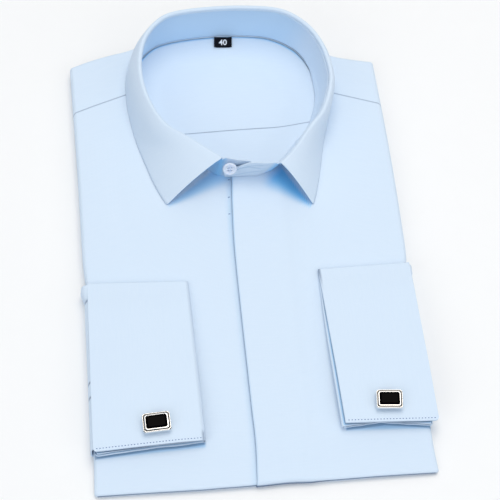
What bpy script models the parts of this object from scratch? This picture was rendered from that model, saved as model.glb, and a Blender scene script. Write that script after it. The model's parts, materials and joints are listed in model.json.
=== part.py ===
"""Long sleeve dress shirt, folded flat: collar standing and buttoned, both double cuffs on its front.

Sizes are in millimetres and become metres where a mesh is made. +X is the wearer's left, +Y runs from the
hem fold to the collar and +Z is up. Plan positions are measured from the middle of the hem fold, and the
finished shirt is moved so that its footprint is centred on the origin.
"""

import math

import bmesh
import bpy
from mathutils import Quaternion, Vector

MM = 0.001

# Cloth
CLOTH = 1.2                 # wall of the body, the stand and the leaf
PLY = 1.0                   # one ply of a cuff
SEAM = 0.3                  # gap between pieces that meet
PLACKET_WALL = 1.9          # the covered placket is several plies thick
PLACKET_WIDTH = 34.0

# Folded body: its four edges in plan, left to right and hem to collar
HEM = [(-115.0, 2.0), (115.6, -0.8)]
LEFT_SIDE = [(-115.0, 2.0), (-114.6, 24.0), (-115.2, 90.0), (-115.8, 150.0), (-117.6, 168.0), (-120.3, 346.1)]
RIGHT_SIDE = [(115.6, -0.8), (114.2, 24.0), (113.7, 90.0), (113.7, 150.0), (115.3, 168.0), (114.8, 250.0),
              (112.4, 331.3)]
TOP = [(-120.3, 346.1), (-101.5, 352.3), (-85.9, 356.0), (-73.0, 358.8), (-60.0, 364.8), (-45.0, 375.0),
       (-24.0, 380.4), (0.0, 381.4), (20.0, 379.8), (40.0, 374.0), (56.0, 362.4), (67.0, 349.6),
       (80.1, 340.2), (95.9, 335.0), (112.4, 331.3)]
EDGE_STEPS = 16             # along each edge
EDGE_RADIUS = 4.5           # cloth taken by a folded edge, per radian of its turn
EDGE_REACH = 3.0            # width of a folded edge in plan, to the middle of the cloth
EDGE_RISE = [(0.0, 2.0), (40.0, 4.5)]   # from_hem, half height of the folded edge
WRAP_ANGLE = math.radians(118)
FOLD_REACH = 15.0           # a folded edge takes short steps over this length
FOLD_STEPS = 6
BODY_ROWS = 12              # steps up the fronts
ROW_GROWTH = 1.4            # the steps grow away from the hem

# Height of the folded body, to the middle of its top cloth
BODY_HEIGHT = [  # from_hem, height
    (0.0, 5.0),
    (40.0, 9.6),
    (80.0, 11.8),
    (150.0, 13.0),
    (235.0, 13.8),
    (310.0, 13.0),
    (372.0, 11.8),
]
SIDE_DROP = 1.2
CHEST_RISE = 4.6            # the front lies higher where it holds the collar
CHEST_CENTRE = (6.0, 232.0)
CHEST_SPREAD = (42.0, 34.0)

# Seams on the front, where the yoke comes over the shoulders
LEFT_SEAM_SIDE = (-119.0, 301.8)
RIGHT_SEAM_SIDE = (114.6, 290.0)
YOKE_SEAM_Y = 278.8         # inside the neck, between the yoke and the back

# Front edges: the wearer's left front laps over the right
PLACKET_EDGE = [(-7.6, 0.4), (-6.2, 60.0), (-7.0, 163.0), (-6.0, 205.0), (-4.2, 231.6)]
UNDERLAP_X = 24.0

# Collar, from the wearer's right point round the back to the left point: the line where the leaf turns
# over, and the free edge of the leaf. Where edge_z is None the leaf rests on the body.
COLLAR = [  # roll_x, roll_y, edge_x, edge_y, edge_z
    (-10.6, 234.6, -53.2, 213.8, None),
    (-24.1, 246.2, -60.2, 229.6, None),
    (-36.5, 256.7, -66.4, 249.2, None),
    (-49.2, 267.4, -72.0, 270.0, None),
    (-58.2, 285.2, -75.8, 291.0, None),
    (-63.0, 304.0, -77.7, 311.5, None),
    (-63.6, 323.0, -76.6, 333.0, None),
    (-59.6, 342.0, -71.0, 351.0, None),
    (-49.6, 356.4, -58.0, 361.0, None),
    (-37.0, 363.0, -42.0, 369.6, None),
    (-12.0, 365.0, -13.0, 373.6, None),
    (17.0, 363.6, 18.5, 372.4, None),
    (42.4, 358.2, 47.6, 364.0, None),
    (58.6, 345.0, 65.2, 349.4, None),
    (67.8, 328.8, 74.2, 333.2, None),
    (72.2, 311.0, 76.8, 315.5, None),
    (72.4, 293.0, 75.0, 297.5, None),
    (64.8, 270.2, 69.4, 272.5, None),
    (54.4, 256.7, 65.4, 257.5, None),
    (44.1, 242.2, 61.2, 237.5, None),
    (36.5, 233.0, 57.0, 219.5, None),
    (29.8, 226.6, 52.6, 205.0, None),
]
LEAN = [  # row, x, y: from the roll line down to the neck seam
    (0.0, -3.4, 0.0),
    (3.0, -9.7, 1.5),
    (6.0, -9.7, 1.0),
    (7.5, -9.7, -0.9),
    (9.0, -9.7, -1.2),
    (10.0, -9.7, 0.2),
    (11.0, -9.7, 1.1),
    (12.2, -8.8, 1.5),
    (13.2, -6.9, 2.4),
    (15.2, -5.9, 2.0),
    (17.0, -7.6, 1.5),
    (19.0, -8.4, 3.2),
    (21.0, -7.8, 6.0),
]
LEFT_SEAM_ROW = 5.6         # where the front seams reach the neck
RIGHT_SEAM_ROW = 15.3
ROLL_BACK_Z = 47.0
ROLL_FRONT_Z = 43.5
ROLL_RADIUS = 1.25
ROLL_START = 3.0            # the leaf begins this far below the roll line
LEAF_BULGE = 1.8
LEAF_CLEAR = 0.3            # of its free edge above the body
LEAF_STEPS, LEAF_ROWS = 44, 5
STAND_STEPS, STAND_ROWS = 42, 3
STAND_GAP = 0.55

# Ends of the stand, which cross at the front
BAND_UNDER = [  # roll_x, roll_y, neck_x, neck_y, top_z
    (21.0, 231.6, 19.0, 235.2, 37.0),
    (12.0, 231.3, 10.0, 234.9, 38.2),
    (6.2, 231.4, 4.0, 234.6, 41.0),
    (-1.5, 232.1, -4.5, 234.3, 43.2),
]
BAND_OVER = [  # roll_x, roll_y, neck_x, neck_y, top_z
    (19.5, 227.0, 13.5, 230.6, 43.2),
    (10.2, 228.0, 6.0, 231.0, 43.4),
    (4.5, 228.4, 1.5, 231.2, 40.0),
    (-0.6, 228.8, -3.0, 231.4, 35.8),
    (-6.0, 229.6, -6.5, 231.6, 36.4),
    (-9.0, 230.0, -8.6, 231.7, 34.5),
    (-10.6, 230.2, -9.6, 231.8, 28.0),
]
NECK_DIP = 5.2              # the inside of the back lies this much lower
NECK_DIP_START = 5.0
NECK_DIP_REACH = 30.0
INSIDE_INSET = 0.9          # of the inside pieces from the neck seam

# Hidden layers
CORE_GAP = 0.9              # below the cloth that lies on them
CORE_DIP_SHARE = 1.25
CORNER_FAN = 4
LOWER_LAYERS_CLEAR = 0.9    # top of the lower layers, below the turned-under cloth
LAYER_GROOVE = 0.7
LAYER_EDGE = [  # outwards, share of height
    (1.9, 1.0), (2.6, 0.80), (2.6, 0.62), (1.1, 0.52), (2.6, 0.42), (2.7, 0.20), (1.3, 0.0),
]

# Neck button
BUTTON_CENTRE = (-6.1, 226.4, 38.8)
BUTTON_DIAMETER = 10.4
BUTTON_THICKNESS = 2.2
BUTTON_TILT = math.radians(22)
SHANK_DIAMETER = 2.2
SHANK_LENGTH = 1.0

# Size label, inside the back of the neck
LABEL_CENTRE = (-1.1, 358.7)
LABEL_SIZE = (13.8, 8.4)
LABEL_TURN = math.radians(-4)
LABEL_WALL = 1.0
LABEL_CURL = 0.4

# Double cuffs, turned back: corners in plan at the hand edge and at the sleeve
CUFFS = {
    "left": {   # +X, the wearer's left
        "hand_top": (50.6, 152.2), "hand_slit": (56.0, 33.0),
        "sleeve_top": (115.1, 152.6), "sleeve_slit": (118.8, 29.9),
        "side": 1, "lower_free": 0.90,       # free edge of the lower wall, as a share of the width
        "link": (86.7, 45.6), "turn": math.radians(-5), "link_size": (18.0, 13.4), "stone": (13.2, 8.8),
    },
    "right": {  # -X, the wearer's right
        "hand_top": (-42.8, 150.6), "hand_slit": (-39.6, 29.4),
        "sleeve_top": (-112.9, 155.4), "sleeve_slit": (-113.6, 27.5),
        "side": -1, "lower_free": 0.92,
        "link": (-70.2, 42.6), "turn": math.radians(3), "link_size": (20.0, 14.0), "stone": (13.2, 9.0),
    },
}
CUFF_COLUMNS, CUFF_STEPS, SLEEVE_STEPS = 6, 6, 7
PLY_OFFSET = 0.65           # from the middle of a doubled wall to each ply
TUBE_GAP = 0.4              # inside the flattened cuff
CUFF_LIFT_FOLD = 0.3        # of the lower wall above the front, at the folded edge
CUFF_LIFT_SLIT = 4.5        # and at the slit, where the toggle lies beneath
SLIT_SHOW = 2.2             # the lower wall shows past the upper one
INNER_END = 0.93
SLEEVE_START = 0.955
SLEEVE_WALL = 1.4
SLEEVE_FOOT = 0.9

# Cufflinks
LINK_THICKNESS = 3.8
LINK_STAND = 2.0            # clear of the cuff
LINK_CORNER = 1.6
LINK_BEVEL = 1.3
STONE_RISE = 0.5
STONE_DEPTH = 1.9
POST_DIAMETER = 2.4
POST_HOLE = 3.4
TOGGLE_DIAMETER = 2.6
TOGGLE_LENGTH = 15.0
TOGGLE_DROP = 1.75          # of its axis below the lower wall

# Colours: base colour, roughness, metallic
FINISHES = {
    "cloth": ((0.66, 0.81, 0.95), 0.78, 0.0),
    "button": ((0.86, 0.91, 0.96), 0.30, 0.0),
    "label": ((0.02, 0.02, 0.025), 0.80, 0.0),
    "metal": ((0.80, 0.80, 0.78), 0.18, 1.0),
    "stone": ((0.01, 0.01, 0.012), 0.06, 0.0),
}


# ---------------------------------------------------------------- plane geometry

def lerp(a, b, t):
    return tuple(p + (q - p) * t for p, q in zip(a, b))


def smooth_step(t):
    t = min(1.0, max(0.0, t))
    return t * t * (3.0 - 2.0 * t)


def spline(rows, t):
    """The point at row number t on the smooth curve through the rows."""
    last = len(rows) - 1
    i = min(max(int(math.floor(t)), 0), last - 1)
    f = t - i
    b, c = rows[i], rows[i + 1]
    a = rows[i - 1] if i > 0 else tuple(2 * p - q for p, q in zip(b, c))
    d = rows[i + 2] if i + 2 <= last else tuple(2 * q - p for p, q in zip(b, c))
    return tuple(
        0.5 * (2 * q + (r - p) * f + (2 * p - 5 * q + 4 * r - s) * f * f + (3 * q - p - 3 * r + s) * f ** 3)
        for p, q, r, s in zip(a, b, c, d))


def table_value(table, x):
    """Smooth value of a two-column table at x."""
    if x <= table[0][0]:
        return table[0][1]
    for (x0, y0), (x1, y1) in zip(table, table[1:]):
        if x <= x1:
            return y0 + (y1 - y0) * smooth_step((x - x0) / (x1 - x0))
    return table[-1][1]


def between_rows(table, t):
    """Straight-line value of a table whose first column is a row number."""
    for low, high in zip(table, table[1:]):
        if t <= high[0]:
            f = max(0.0, (t - low[0]) / (high[0] - low[0]))
            return lerp(low[1:], high[1:], f)
    return table[-1][1:]


def polyline_length(points):
    return sum(math.dist(a, b) for a, b in zip(points, points[1:]))


def at_lengths(points, targets):
    """Points of a polyline at rising distances from its start."""
    result, j, passed = [], 0, 0.0
    for target in targets:
        span = math.dist(points[j], points[j + 1])
        while j < len(points) - 2 and passed + span < target:
            passed += span
            j += 1
            span = math.dist(points[j], points[j + 1])
        result.append(lerp(points[j], points[j + 1], min(1.0, (target - passed) / span)))
    return result


def resample(points, count):
    """Points at even steps along a polyline, with both ends kept."""
    total = polyline_length(points)
    return at_lengths(points, [total * i / count for i in range(count + 1)])


def resample_fine(points, count, fine_end=False, growth=1.0):
    """As resample, with short steps over the folded edge at the start, and at the end if asked."""
    total = polyline_length(points)
    fine = [FOLD_REACH * i / FOLD_STEPS for i in range(FOLD_STEPS)]
    last = total - (FOLD_REACH if fine_end else 0.0)
    steps = fine + [FOLD_REACH + (last - FOLD_REACH) * (i / count) ** growth for i in range(count + 1)]
    if fine_end:
        steps += [total - s for s in reversed(fine)]
    return at_lengths(points, steps)


def smooth_curve(rows, steps=6):
    return [spline(rows, i / steps) for i in range((len(rows) - 1) * steps + 1)]


def offset_polygon(polygon, distance):
    """A closed, counter-clockwise polygon moved outwards by distance."""
    result = []
    count = len(polygon)
    for i, point in enumerate(polygon):
        before, after = polygon[i - 1], polygon[(i + 1) % count]
        n1 = outward(before, point)
        n2 = outward(point, after)
        bx, by = n1[0] + n2[0], n1[1] + n2[1]
        scale = distance / (0.5 * (bx * bx + by * by))
        result.append((point[0] + bx * scale, point[1] + by * scale))
    return result


def outward(a, b):
    length = math.dist(a, b)
    return ((b[1] - a[1]) / length, (a[0] - b[0]) / length)


def nearest_on(polygon, x, y):
    """Distance from a polygon, and the nearest point on it."""
    best = (1e9, polygon[0])
    for a, b in zip(polygon, polygon[1:] + polygon[:1]):
        dx, dy = b[0] - a[0], b[1] - a[1]
        t = ((x - a[0]) * dx + (y - a[1]) * dy) / (dx * dx + dy * dy)
        t = min(1.0, max(0.0, t))
        point = (a[0] + dx * t, a[1] + dy * t)
        distance = math.hypot(x - point[0], y - point[1])
        if distance < best[0]:
            best = (distance, point)
    return best


def is_inside(polygon, x, y):
    inside = False
    for a, b in zip(polygon, polygon[1:] + polygon[:1]):
        if (a[1] > y) != (b[1] > y) and x < a[0] + (y - a[1]) * (b[0] - a[0]) / (b[1] - a[1]):
            inside = not inside
    return inside


def shares(points):
    """How far along a polyline each of its points lies, from 0 to 1."""
    total, passed, result = polyline_length(points), 0.0, [0.0]
    for a, b in zip(points, points[1:]):
        passed += math.dist(a, b)
        result.append(passed / total)
    return result


def patch(bottom, top, left, right):
    """Grid of points that fills four edges, rows from bottom to top."""
    across_shares = lerp(shares(bottom), shares(top), 0.5)
    along_shares = lerp(shares(left), shares(right), 0.5)
    grid = []
    for j, v in enumerate(along_shares):
        row = []
        for i, u in enumerate(across_shares):
            along = lerp(bottom[i], top[i], v)
            across = lerp(left[j], right[j], u)
            corners = lerp(lerp(bottom[0], bottom[-1], u), lerp(top[0], top[-1], u), v)
            row.append(tuple(p + q - r for p, q, r in zip(along, across, corners)))
        grid.append(row)
    return grid


# ---------------------------------------------------------------- the folded body

def folded_outline():
    """Counter-clockwise outline of the folded body, and the places of its four corners in it."""
    edges = [HEM, RIGHT_SIDE, list(reversed(TOP)), list(reversed(LEFT_SIDE))]
    polygon, corners = [], []
    for edge in edges:
        corners.append(len(polygon))
        points = resample(smooth_curve(edge) if len(edge) > 2 else edge, EDGE_STEPS)
        polygon += points[:-1]
    return polygon, corners


OUTLINE, CORNERS = folded_outline()
FLAT = offset_polygon(OUTLINE, -(EDGE_REACH + CLOTH / 2))  # inside it the top is not yet turning down
WRAP = EDGE_RADIUS * WRAP_ANGLE
WRAPPED = offset_polygon(FLAT, WRAP)


def polygon_edge(polygon, number, backwards=False):
    """One edge of a polygon made from the outline: 0 hem, 1 side at +X, 2 top, 3 side at -X."""
    start = CORNERS[number]
    stop = CORNERS[number + 1] if number < 3 else len(polygon)
    points = polygon[start:stop] + [polygon[stop % len(polygon)]]
    return points[::-1] if backwards else points


FLAT_X = min(abs(x) for x, _ in polygon_edge(FLAT, 1) + polygon_edge(FLAT, 3))


def body_height(x, y):
    """Middle of the top cloth, where it lies flat."""
    height = table_value(BODY_HEIGHT, y) - SIDE_DROP * (x / 115.0) ** 4
    dx, dy = (x - CHEST_CENTRE[0]) / CHEST_SPREAD[0], (y - CHEST_CENTRE[1]) / CHEST_SPREAD[1]
    return height + CHEST_RISE * math.exp(-0.5 * (dx * dx + dy * dy))


def edge_rise(y):
    return table_value(EDGE_RISE, y)


def on_body(x, y, lift=0.0):
    """Plan point to a point on the body's cloth, which turns down and under past the flat part."""
    if is_inside(FLAT, x, y):
        return (x, y, body_height(x, y) + lift)
    distance, (qx, qy) = nearest_on(FLAT, x, y)
    angle = min(distance / EDGE_RADIUS, WRAP_ANGLE)
    scale = (EDGE_REACH + lift) * math.sin(angle) / max(distance, 1e-6)
    rise = edge_rise(qy)
    z = body_height(qx, qy) - rise + (rise + lift) * math.cos(angle)
    return (qx + (x - qx) * scale, qy + (y - qy) * scale, z)


def roll_point(t):
    x, y = spline([row[:2] for row in COLLAR], t)
    share = (y - COLLAR[0][1]) / (COLLAR[10][1] - COLLAR[0][1])
    return (x, y, ROLL_FRONT_Z + (ROLL_BACK_Z - ROLL_FRONT_Z) * smooth_step(share))


def neck_point(t):
    x, y = spline([row[:2] for row in COLLAR], t)
    lean = between_rows(LEAN, t)
    return (x + lean[0], y + lean[1])


def neck_ring():
    """Closed, counter-clockwise neck seam, seen from above."""
    ring = [neck_point(0.5 * i) for i in range(2 * (len(COLLAR) - 1) + 1)]
    ring += [row[2:4] for row in BAND_OVER[:4]]
    return ring[::-1]


RING = neck_ring()


def neck_dip(x, y):
    """How far the inside of the back lies below the front."""
    distance, _ = nearest_on(RING, x, y)
    if not is_inside(RING, x, y):
        distance = -distance
    return NECK_DIP * smooth_step((distance + NECK_DIP_START) / NECK_DIP_REACH)


# ---------------------------------------------------------------- meshes and objects

def finish_material(name):
    material = bpy.data.materials.get(name)
    if material:
        return material
    colour, roughness, metallic = FINISHES[name]
    material = bpy.data.materials.new(name)
    material.use_nodes = True
    shader = material.node_tree.nodes["Principled BSDF"]
    shader.inputs["Base Color"].default_value = (*colour, 1.0)
    shader.inputs["Roughness"].default_value = roughness
    shader.inputs["Metallic"].default_value = metallic
    return material


def add_object(name, verts, faces, finish):
    mesh = bpy.data.meshes.new(name)
    mesh.from_pydata([tuple(MM * c for c in v) for v in verts], [], faces)
    bm = bmesh.new()
    bm.from_mesh(mesh)
    bmesh.ops.recalc_face_normals(bm, faces=bm.faces)
    bm.to_mesh(mesh)
    bm.free()
    mesh.materials.append(finish_material(finish))
    mesh.shade_smooth()
    mesh.set_sharp_from_angle(angle=math.radians(40))
    part = bpy.data.objects.new(name, mesh)
    bpy.context.collection.objects.link(part)
    return part


def grid_normals(grid):
    rows, columns = len(grid), len(grid[0])
    normals = []
    for j in range(rows):
        line = []
        for i in range(columns):
            a = Vector(grid[j][max(i - 1, 0)])
            b = Vector(grid[j][min(i + 1, columns - 1)])
            c = Vector(grid[max(j - 1, 0)][i])
            d = Vector(grid[min(j + 1, rows - 1)][i])
            line.append((b - a).cross(d - c).normalized())
        normals.append(line)
    return normals


def cloth_piece(name, grid, wall, finish="cloth"):
    """A closed wall about a grid of points. wall is its thickness, or a function of a grid point."""
    rows, columns = len(grid), len(grid[0])
    normals = grid_normals(grid)
    verts, faces = [], []
    for side in (1, -1):
        for j in range(rows):
            for i in range(columns):
                point = Vector(grid[j][i])
                half = 0.5 * (wall(point) if callable(wall) else wall)
                verts.append(point + normals[j][i] * (side * half))
    size = rows * columns

    def at(side, j, i):
        return side * size + j * columns + i

    for j in range(rows - 1):
        for i in range(columns - 1):
            faces.append((at(0, j, i), at(0, j, i + 1), at(0, j + 1, i + 1), at(0, j + 1, i)))
            faces.append((at(1, j, i), at(1, j + 1, i), at(1, j + 1, i + 1), at(1, j, i + 1)))
    rim = [(0, i) for i in range(columns)] + [(j, columns - 1) for j in range(1, rows)]
    rim += [(rows - 1, i) for i in range(columns - 2, -1, -1)] + [(j, 0) for j in range(rows - 2, 0, -1)]
    for (j0, i0), (j1, i1) in zip(rim, rim[1:] + rim[:1]):
        faces.append((at(0, j0, i0), at(1, j0, i0), at(1, j1, i1), at(0, j1, i1)))
    return add_object(name, verts, faces, finish)


def cut_away(part, cutter):
    cutter.hide_render = True
    cutter.display_type = "WIRE"
    cut = part.modifiers.new("hole", "BOOLEAN")
    cut.operation = "DIFFERENCE"
    cut.object = cutter


# ---------------------------------------------------------------- body pieces

def seam_line(side_point, row, shift):
    """A front seam in plan, from the wrapped side edge to the neck, moved by half of its gap."""
    neck = neck_point(row)
    reach = 1.0 + (WRAP - EDGE_REACH - CLOTH / 2) / abs(side_point[0] - neck[0])
    points = resample_fine([lerp(neck, side_point, reach), neck], 3)
    return [(x, y + shift) for x, y in points]


def neck_line(start, stop, count):
    return [neck_point(start + (stop - start) * i / count) for i in range(count + 1)]


def side_below(number, seam_end):
    """The wrapped side edge from the hem up to a seam."""
    points = polygon_edge(WRAPPED, number, backwards=(number == 3))
    return resample_fine([p for p in points if p[1] < seam_end[1] - 1.0] + [seam_end], BODY_ROWS, False, ROW_GROWTH)


def side_above(number, seam_end):
    """The wrapped side edge from a seam up to the shoulder."""
    points = polygon_edge(WRAPPED, number, backwards=(number == 3))
    return [seam_end] + [p for p in points if p[1] > seam_end[1] + 1.0]


def front_right():
    seam = seam_line(LEFT_SEAM_SIDE, LEFT_SEAM_ROW, -SEAM / 2)
    neck = neck_line(LEFT_SEAM_ROW, 0.0, 11)
    under = [row[2:4] for row in BAND_UNDER[:0:-1]] + [(UNDERLAP_X, 235.4)]
    top = seam + neck[1:] + under
    hem = polygon_edge(WRAPPED, 0)
    share = (UNDERLAP_X - hem[0][0]) / (hem[-1][0] - hem[0][0])
    bottom = resample_fine([hem[0], lerp(hem[0], hem[-1], share)], len(top) - 1 - FOLD_STEPS)
    left = side_below(3, top[0])
    right = resample_fine([bottom[-1], top[-1]], BODY_ROWS, False, ROW_GROWTH)
    grid = patch(bottom, top, left, right)
    return cloth_piece("front_right", [[on_body(x, y) for x, y in row] for row in grid], CLOTH)


def placket_lift(x):
    """The left front rides over the right front, then comes down beside it."""
    over = 0.5 * CLOTH + SEAM + 0.15 + 0.5 * PLACKET_WALL
    return over * (1.0 - smooth_step((x - UNDERLAP_X - 3.0) / 18.0))


def placket_wall(point):
    return CLOTH + (PLACKET_WALL - CLOTH) * (1.0 - smooth_step((point[0] - PLACKET_WIDTH + 6.0) / 8.0))


def front_left():
    seam = seam_line(RIGHT_SEAM_SIDE, RIGHT_SEAM_ROW, -SEAM / 2)
    neck = neck_line(RIGHT_SEAM_ROW, len(COLLAR) - 1, 11)
    band = [row[2:4] for row in BAND_OVER[:3]] + [PLACKET_EDGE[-1]]
    top = seam + neck[1:] + band
    hem = polygon_edge(WRAPPED, 0)
    share = (PLACKET_EDGE[0][0] - hem[0][0]) / (hem[-1][0] - hem[0][0])
    bottom = resample_fine([hem[-1], lerp(hem[0], hem[-1], share)], len(top) - 1 - FOLD_STEPS)
    side = side_below(1, top[0])
    edge = resample_fine(smooth_curve([bottom[-1]] + PLACKET_EDGE[1:]), BODY_ROWS, False, ROW_GROWTH)
    grid = patch(bottom[::-1], top[::-1], edge, side)
    points = [[on_body(x, y, placket_lift(x)) for x, y in row] for row in grid]
    return cloth_piece("front_left", points, placket_wall)


def yoke_outer():
    seam_left = seam_line(LEFT_SEAM_SIDE, LEFT_SEAM_ROW, SEAM / 2)
    seam_right = seam_line(RIGHT_SEAM_SIDE, RIGHT_SEAM_ROW, SEAM / 2)
    inner = seam_left + neck_line(LEFT_SEAM_ROW, RIGHT_SEAM_ROW, 23)[1:-1] + seam_right[::-1]
    outer_edge = polygon_edge(WRAPPED, 2, backwards=True)
    outer = resample_fine(outer_edge, len(inner) - 1 - 2 * FOLD_STEPS, fine_end=True)
    left = side_above(3, inner[0])
    right = side_above(1, inner[-1])
    steps = [i / 5 * 0.62 for i in range(5)] + [0.62 + 0.38 * i / 7 for i in range(8)]
    left = at_lengths(left, [polyline_length(left) * s for s in steps])
    right = at_lengths(right, [polyline_length(right) * s for s in steps])
    grid = patch(inner, outer, left, right)
    return cloth_piece("yoke_outer", [[on_body(x, y) for x, y in row] for row in grid], CLOTH)


def inside_ring(t):
    """A point just inside the neck seam, at row t of the collar."""
    nx, ny = outward(neck_point(t - 0.05), neck_point(t + 0.05))
    x, y = neck_point(t)
    return (x + INSIDE_INSET * nx, y + INSIDE_INSET * ny)


def row_at(y, low, high):
    """The collar row between low and high where the inside of the neck seam is this far from the hem."""
    rising = inside_ring(high)[1] > inside_ring(low)[1]
    for _ in range(30):
        middle = 0.5 * (low + high)
        if (inside_ring(middle)[1] < y) == rising:
            low = middle
        else:
            high = middle
    return low


def inside_run(start, stop, count):
    return [inside_ring(start + (stop - start) * i / count) for i in range(count + 1)]


def inside_surface(grid):
    return [[(x, y, body_height(x, y) - neck_dip(x, y)) for x, y in row] for row in grid]


def yoke_inner_grid():
    y = YOKE_SEAM_Y + SEAM / 2
    first, last = row_at(y, 2.0, 6.0), row_at(y, 19.0, 15.0)
    left, right = inside_run(first, 7.4, 9), inside_run(last, 12.9, 9)
    seam = resample([inside_ring(first), inside_ring(last)], 16)
    return inside_surface(patch(seam, inside_run(7.4, 12.9, 16), left, right))


def yoke_inner():
    return cloth_piece("yoke_inner", yoke_inner_grid(), CLOTH)


def back_panel():
    y = YOKE_SEAM_Y - SEAM / 2
    first, last = row_at(y, 2.0, 6.0), row_at(y, 19.0, 15.0)
    bands = [(row[2], row[3] + INSIDE_INSET + 0.6) for row in BAND_UNDER[::-1]]
    front = smooth_curve(inside_run(1.4, 0.2, 2) + bands + [inside_ring(20.0)], 4)
    left, right = inside_run(1.4, first, 6), inside_run(20.0, last, 6)
    seam = resample([inside_ring(first), inside_ring(last)], 14)
    grid = patch(resample(front, 14), seam, left, right)
    return cloth_piece("back_panel", inside_surface(grid), CLOTH)


def folded_layers():
    """All the hidden cloth as one rounded solid, with its layers showing as grooves round the edge."""
    columns = rows = EDGE_STEPS
    hem, right, top, left = (polygon_edge(FLAT, n, backwards=(n > 1)) for n in range(4))
    left, right = ([*at_lengths(side, [polyline_length(side) * (k / rows) ** ROW_GROWTH for k in range(rows + 1)])]
                   for side in (left, right))
    grid = patch(hem, top, left, right)
    verts, faces = [], []
    for line in grid:
        for x, y in line:
            verts.append((x, y, body_height(x, y) - CORE_GAP - CLOTH / 2 - core_dip(x, y)))

    def at(j, i):
        return j * (columns + 1) + i

    for j in range(rows):
        for i in range(columns):
            faces.append((at(j, i), at(j, i + 1), at(j + 1, i + 1), at(j + 1, i)))
    rim = [at(0, i) for i in range(columns)] + [at(j, columns) for j in range(rows)]
    rim += [at(rows, i) for i in range(columns, 0, -1)] + [at(j, 0) for j in range(rows, 0, -1)]
    spokes = []  # each is a rim vertex and the direction out of it; a corner has a fan of them
    for k, vertex in enumerate(rim):
        before, here, after = verts[rim[k - 1]], verts[vertex], verts[rim[(k + 1) % len(rim)]]
        n1, n2 = outward(before[:2], here[:2]), outward(here[:2], after[:2])
        a1, a2 = math.atan2(n1[1], n1[0]), math.atan2(n2[1], n2[0])
        turn = (a2 - a1 + math.pi) % (2 * math.pi) - math.pi
        fan = CORNER_FAN if turn > math.radians(40) else 0
        for f in range(fan + 1):
            angle = a1 + turn * (f / fan if fan else 0.5)
            spokes.append((vertex, (math.cos(angle), math.sin(angle))))
    loops = [[vertex for vertex, _ in spokes]]
    for ring in range(len(core_profile(0.0, 0.0))):
        loop = []
        for vertex, (nx, ny) in spokes:
            x, y, _ = verts[vertex]
            out, z = core_profile(body_height(x, y), edge_rise(y))[ring]
            loop.append(len(verts))
            verts.append((x + nx * out, y + ny * out, z))
        loops.append(loop)
    for above, below in zip(loops, loops[1:]):
        for k in range(len(spokes)):
            m = (k + 1) % len(spokes)
            face = (above[k], below[k], below[m], above[m])
            faces.append(face if above[k] != above[m] else face[:3])
    faces.append(tuple(loops[-1]))
    return add_object("folded_layers", verts, faces, "cloth")


def core_dip(x, y):
    return CORE_DIP_SHARE * neck_dip(x, y)


def core_profile(top_z, rise):
    """Edge of the hidden layers: (outwards, z) from the upper fold down to the floor."""
    centre_z = top_z - rise
    reach, inner = EDGE_REACH - CLOTH / 2 - CORE_GAP, rise - CLOTH / 2 - CORE_GAP
    rings = [(reach * math.sin(a), centre_z + inner * math.cos(a))
             for a in (math.radians(d) for d in (35, 70, 108))]
    drop = rise * -math.cos(WRAP_ANGLE) + LOWER_LAYERS_CLEAR
    rings.append((LAYER_GROOVE, centre_z - 0.75 * drop))
    rings += [(out, (centre_z - drop) * share) for out, share in LAYER_EDGE]
    return rings


# ---------------------------------------------------------------- collar

def front_top(x, y):
    """Top face of the left front, or of the yoke where the front has come down beside the placket."""
    return body_height(x, y) + placket_lift(x) + 0.5 * placket_wall((x, y))


def stand_stations():
    """Along the stand, from its hidden end to its upper end: roll line, neck seam, foot and top heights."""
    stations = []
    for x, y, neck_x, neck_y, top_z in BAND_UNDER:
        foot = body_height(neck_x, neck_y) + CLOTH / 2 + STAND_GAP
        stations.append(((x, y, ROLL_FRONT_Z), (neck_x, neck_y), foot, top_z))
    for i in range(STAND_STEPS + 1):
        t = (len(COLLAR) - 1) * i / STAND_STEPS
        roll, neck = roll_point(t), neck_point(t)
        foot = body_height(*neck) + CLOTH / 2
        if t > RIGHT_SEAM_ROW:
            foot = front_top(*neck)
        stations.append((roll, neck, foot + STAND_GAP, roll[2] - ROLL_START - SEAM))
    for x, y, neck_x, neck_y, top_z in BAND_OVER:
        foot = front_top(neck_x, neck_y) + STAND_GAP
        stations.append(((x, y, ROLL_FRONT_Z), (neck_x, neck_y), foot, top_z))
    first, last = len(BAND_UNDER), len(BAND_UNDER) + STAND_STEPS
    stations[last + 1:last + 1] = beside_leaf(stations[last], stations[last + 1])
    stations[first:first] = beside_leaf(stations[first], stations[first - 1])[::-1]
    return stations


def beside_leaf(covered, bare):
    """Two stations past an end of the leaf, where the stand rises from under it to its full height."""
    low = tuple(lerp(a, b, 0.10) for a, b in zip(covered[:2], bare[:2]))
    high = tuple(lerp(a, b, 0.32) for a, b in zip(covered[:2], bare[:2]))
    foot = covered[2]
    return [(*low, foot, covered[3]), (*high, foot, bare[3] - 0.4)]


def collar_stand():
    stations = stand_stations()
    grid = []
    for j in range(STAND_ROWS + 1):
        line = []
        for k, (roll, neck, foot, top) in enumerate(stations):
            before = stations[max(k - 1, 0)][0]
            after = stations[min(k + 1, len(stations) - 1)][0]
            nx, ny = outward(after[:2], before[:2])
            z = foot + (top - foot) * j / STAND_ROWS
            x, y = lerp(neck, roll[:2], (z - foot) / (roll[2] - foot))
            line.append((x + nx * CLOTH / 2, y + ny * CLOTH / 2, z))
        grid.append(line)
    return cloth_piece("collar_stand", grid, CLOTH)


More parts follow.
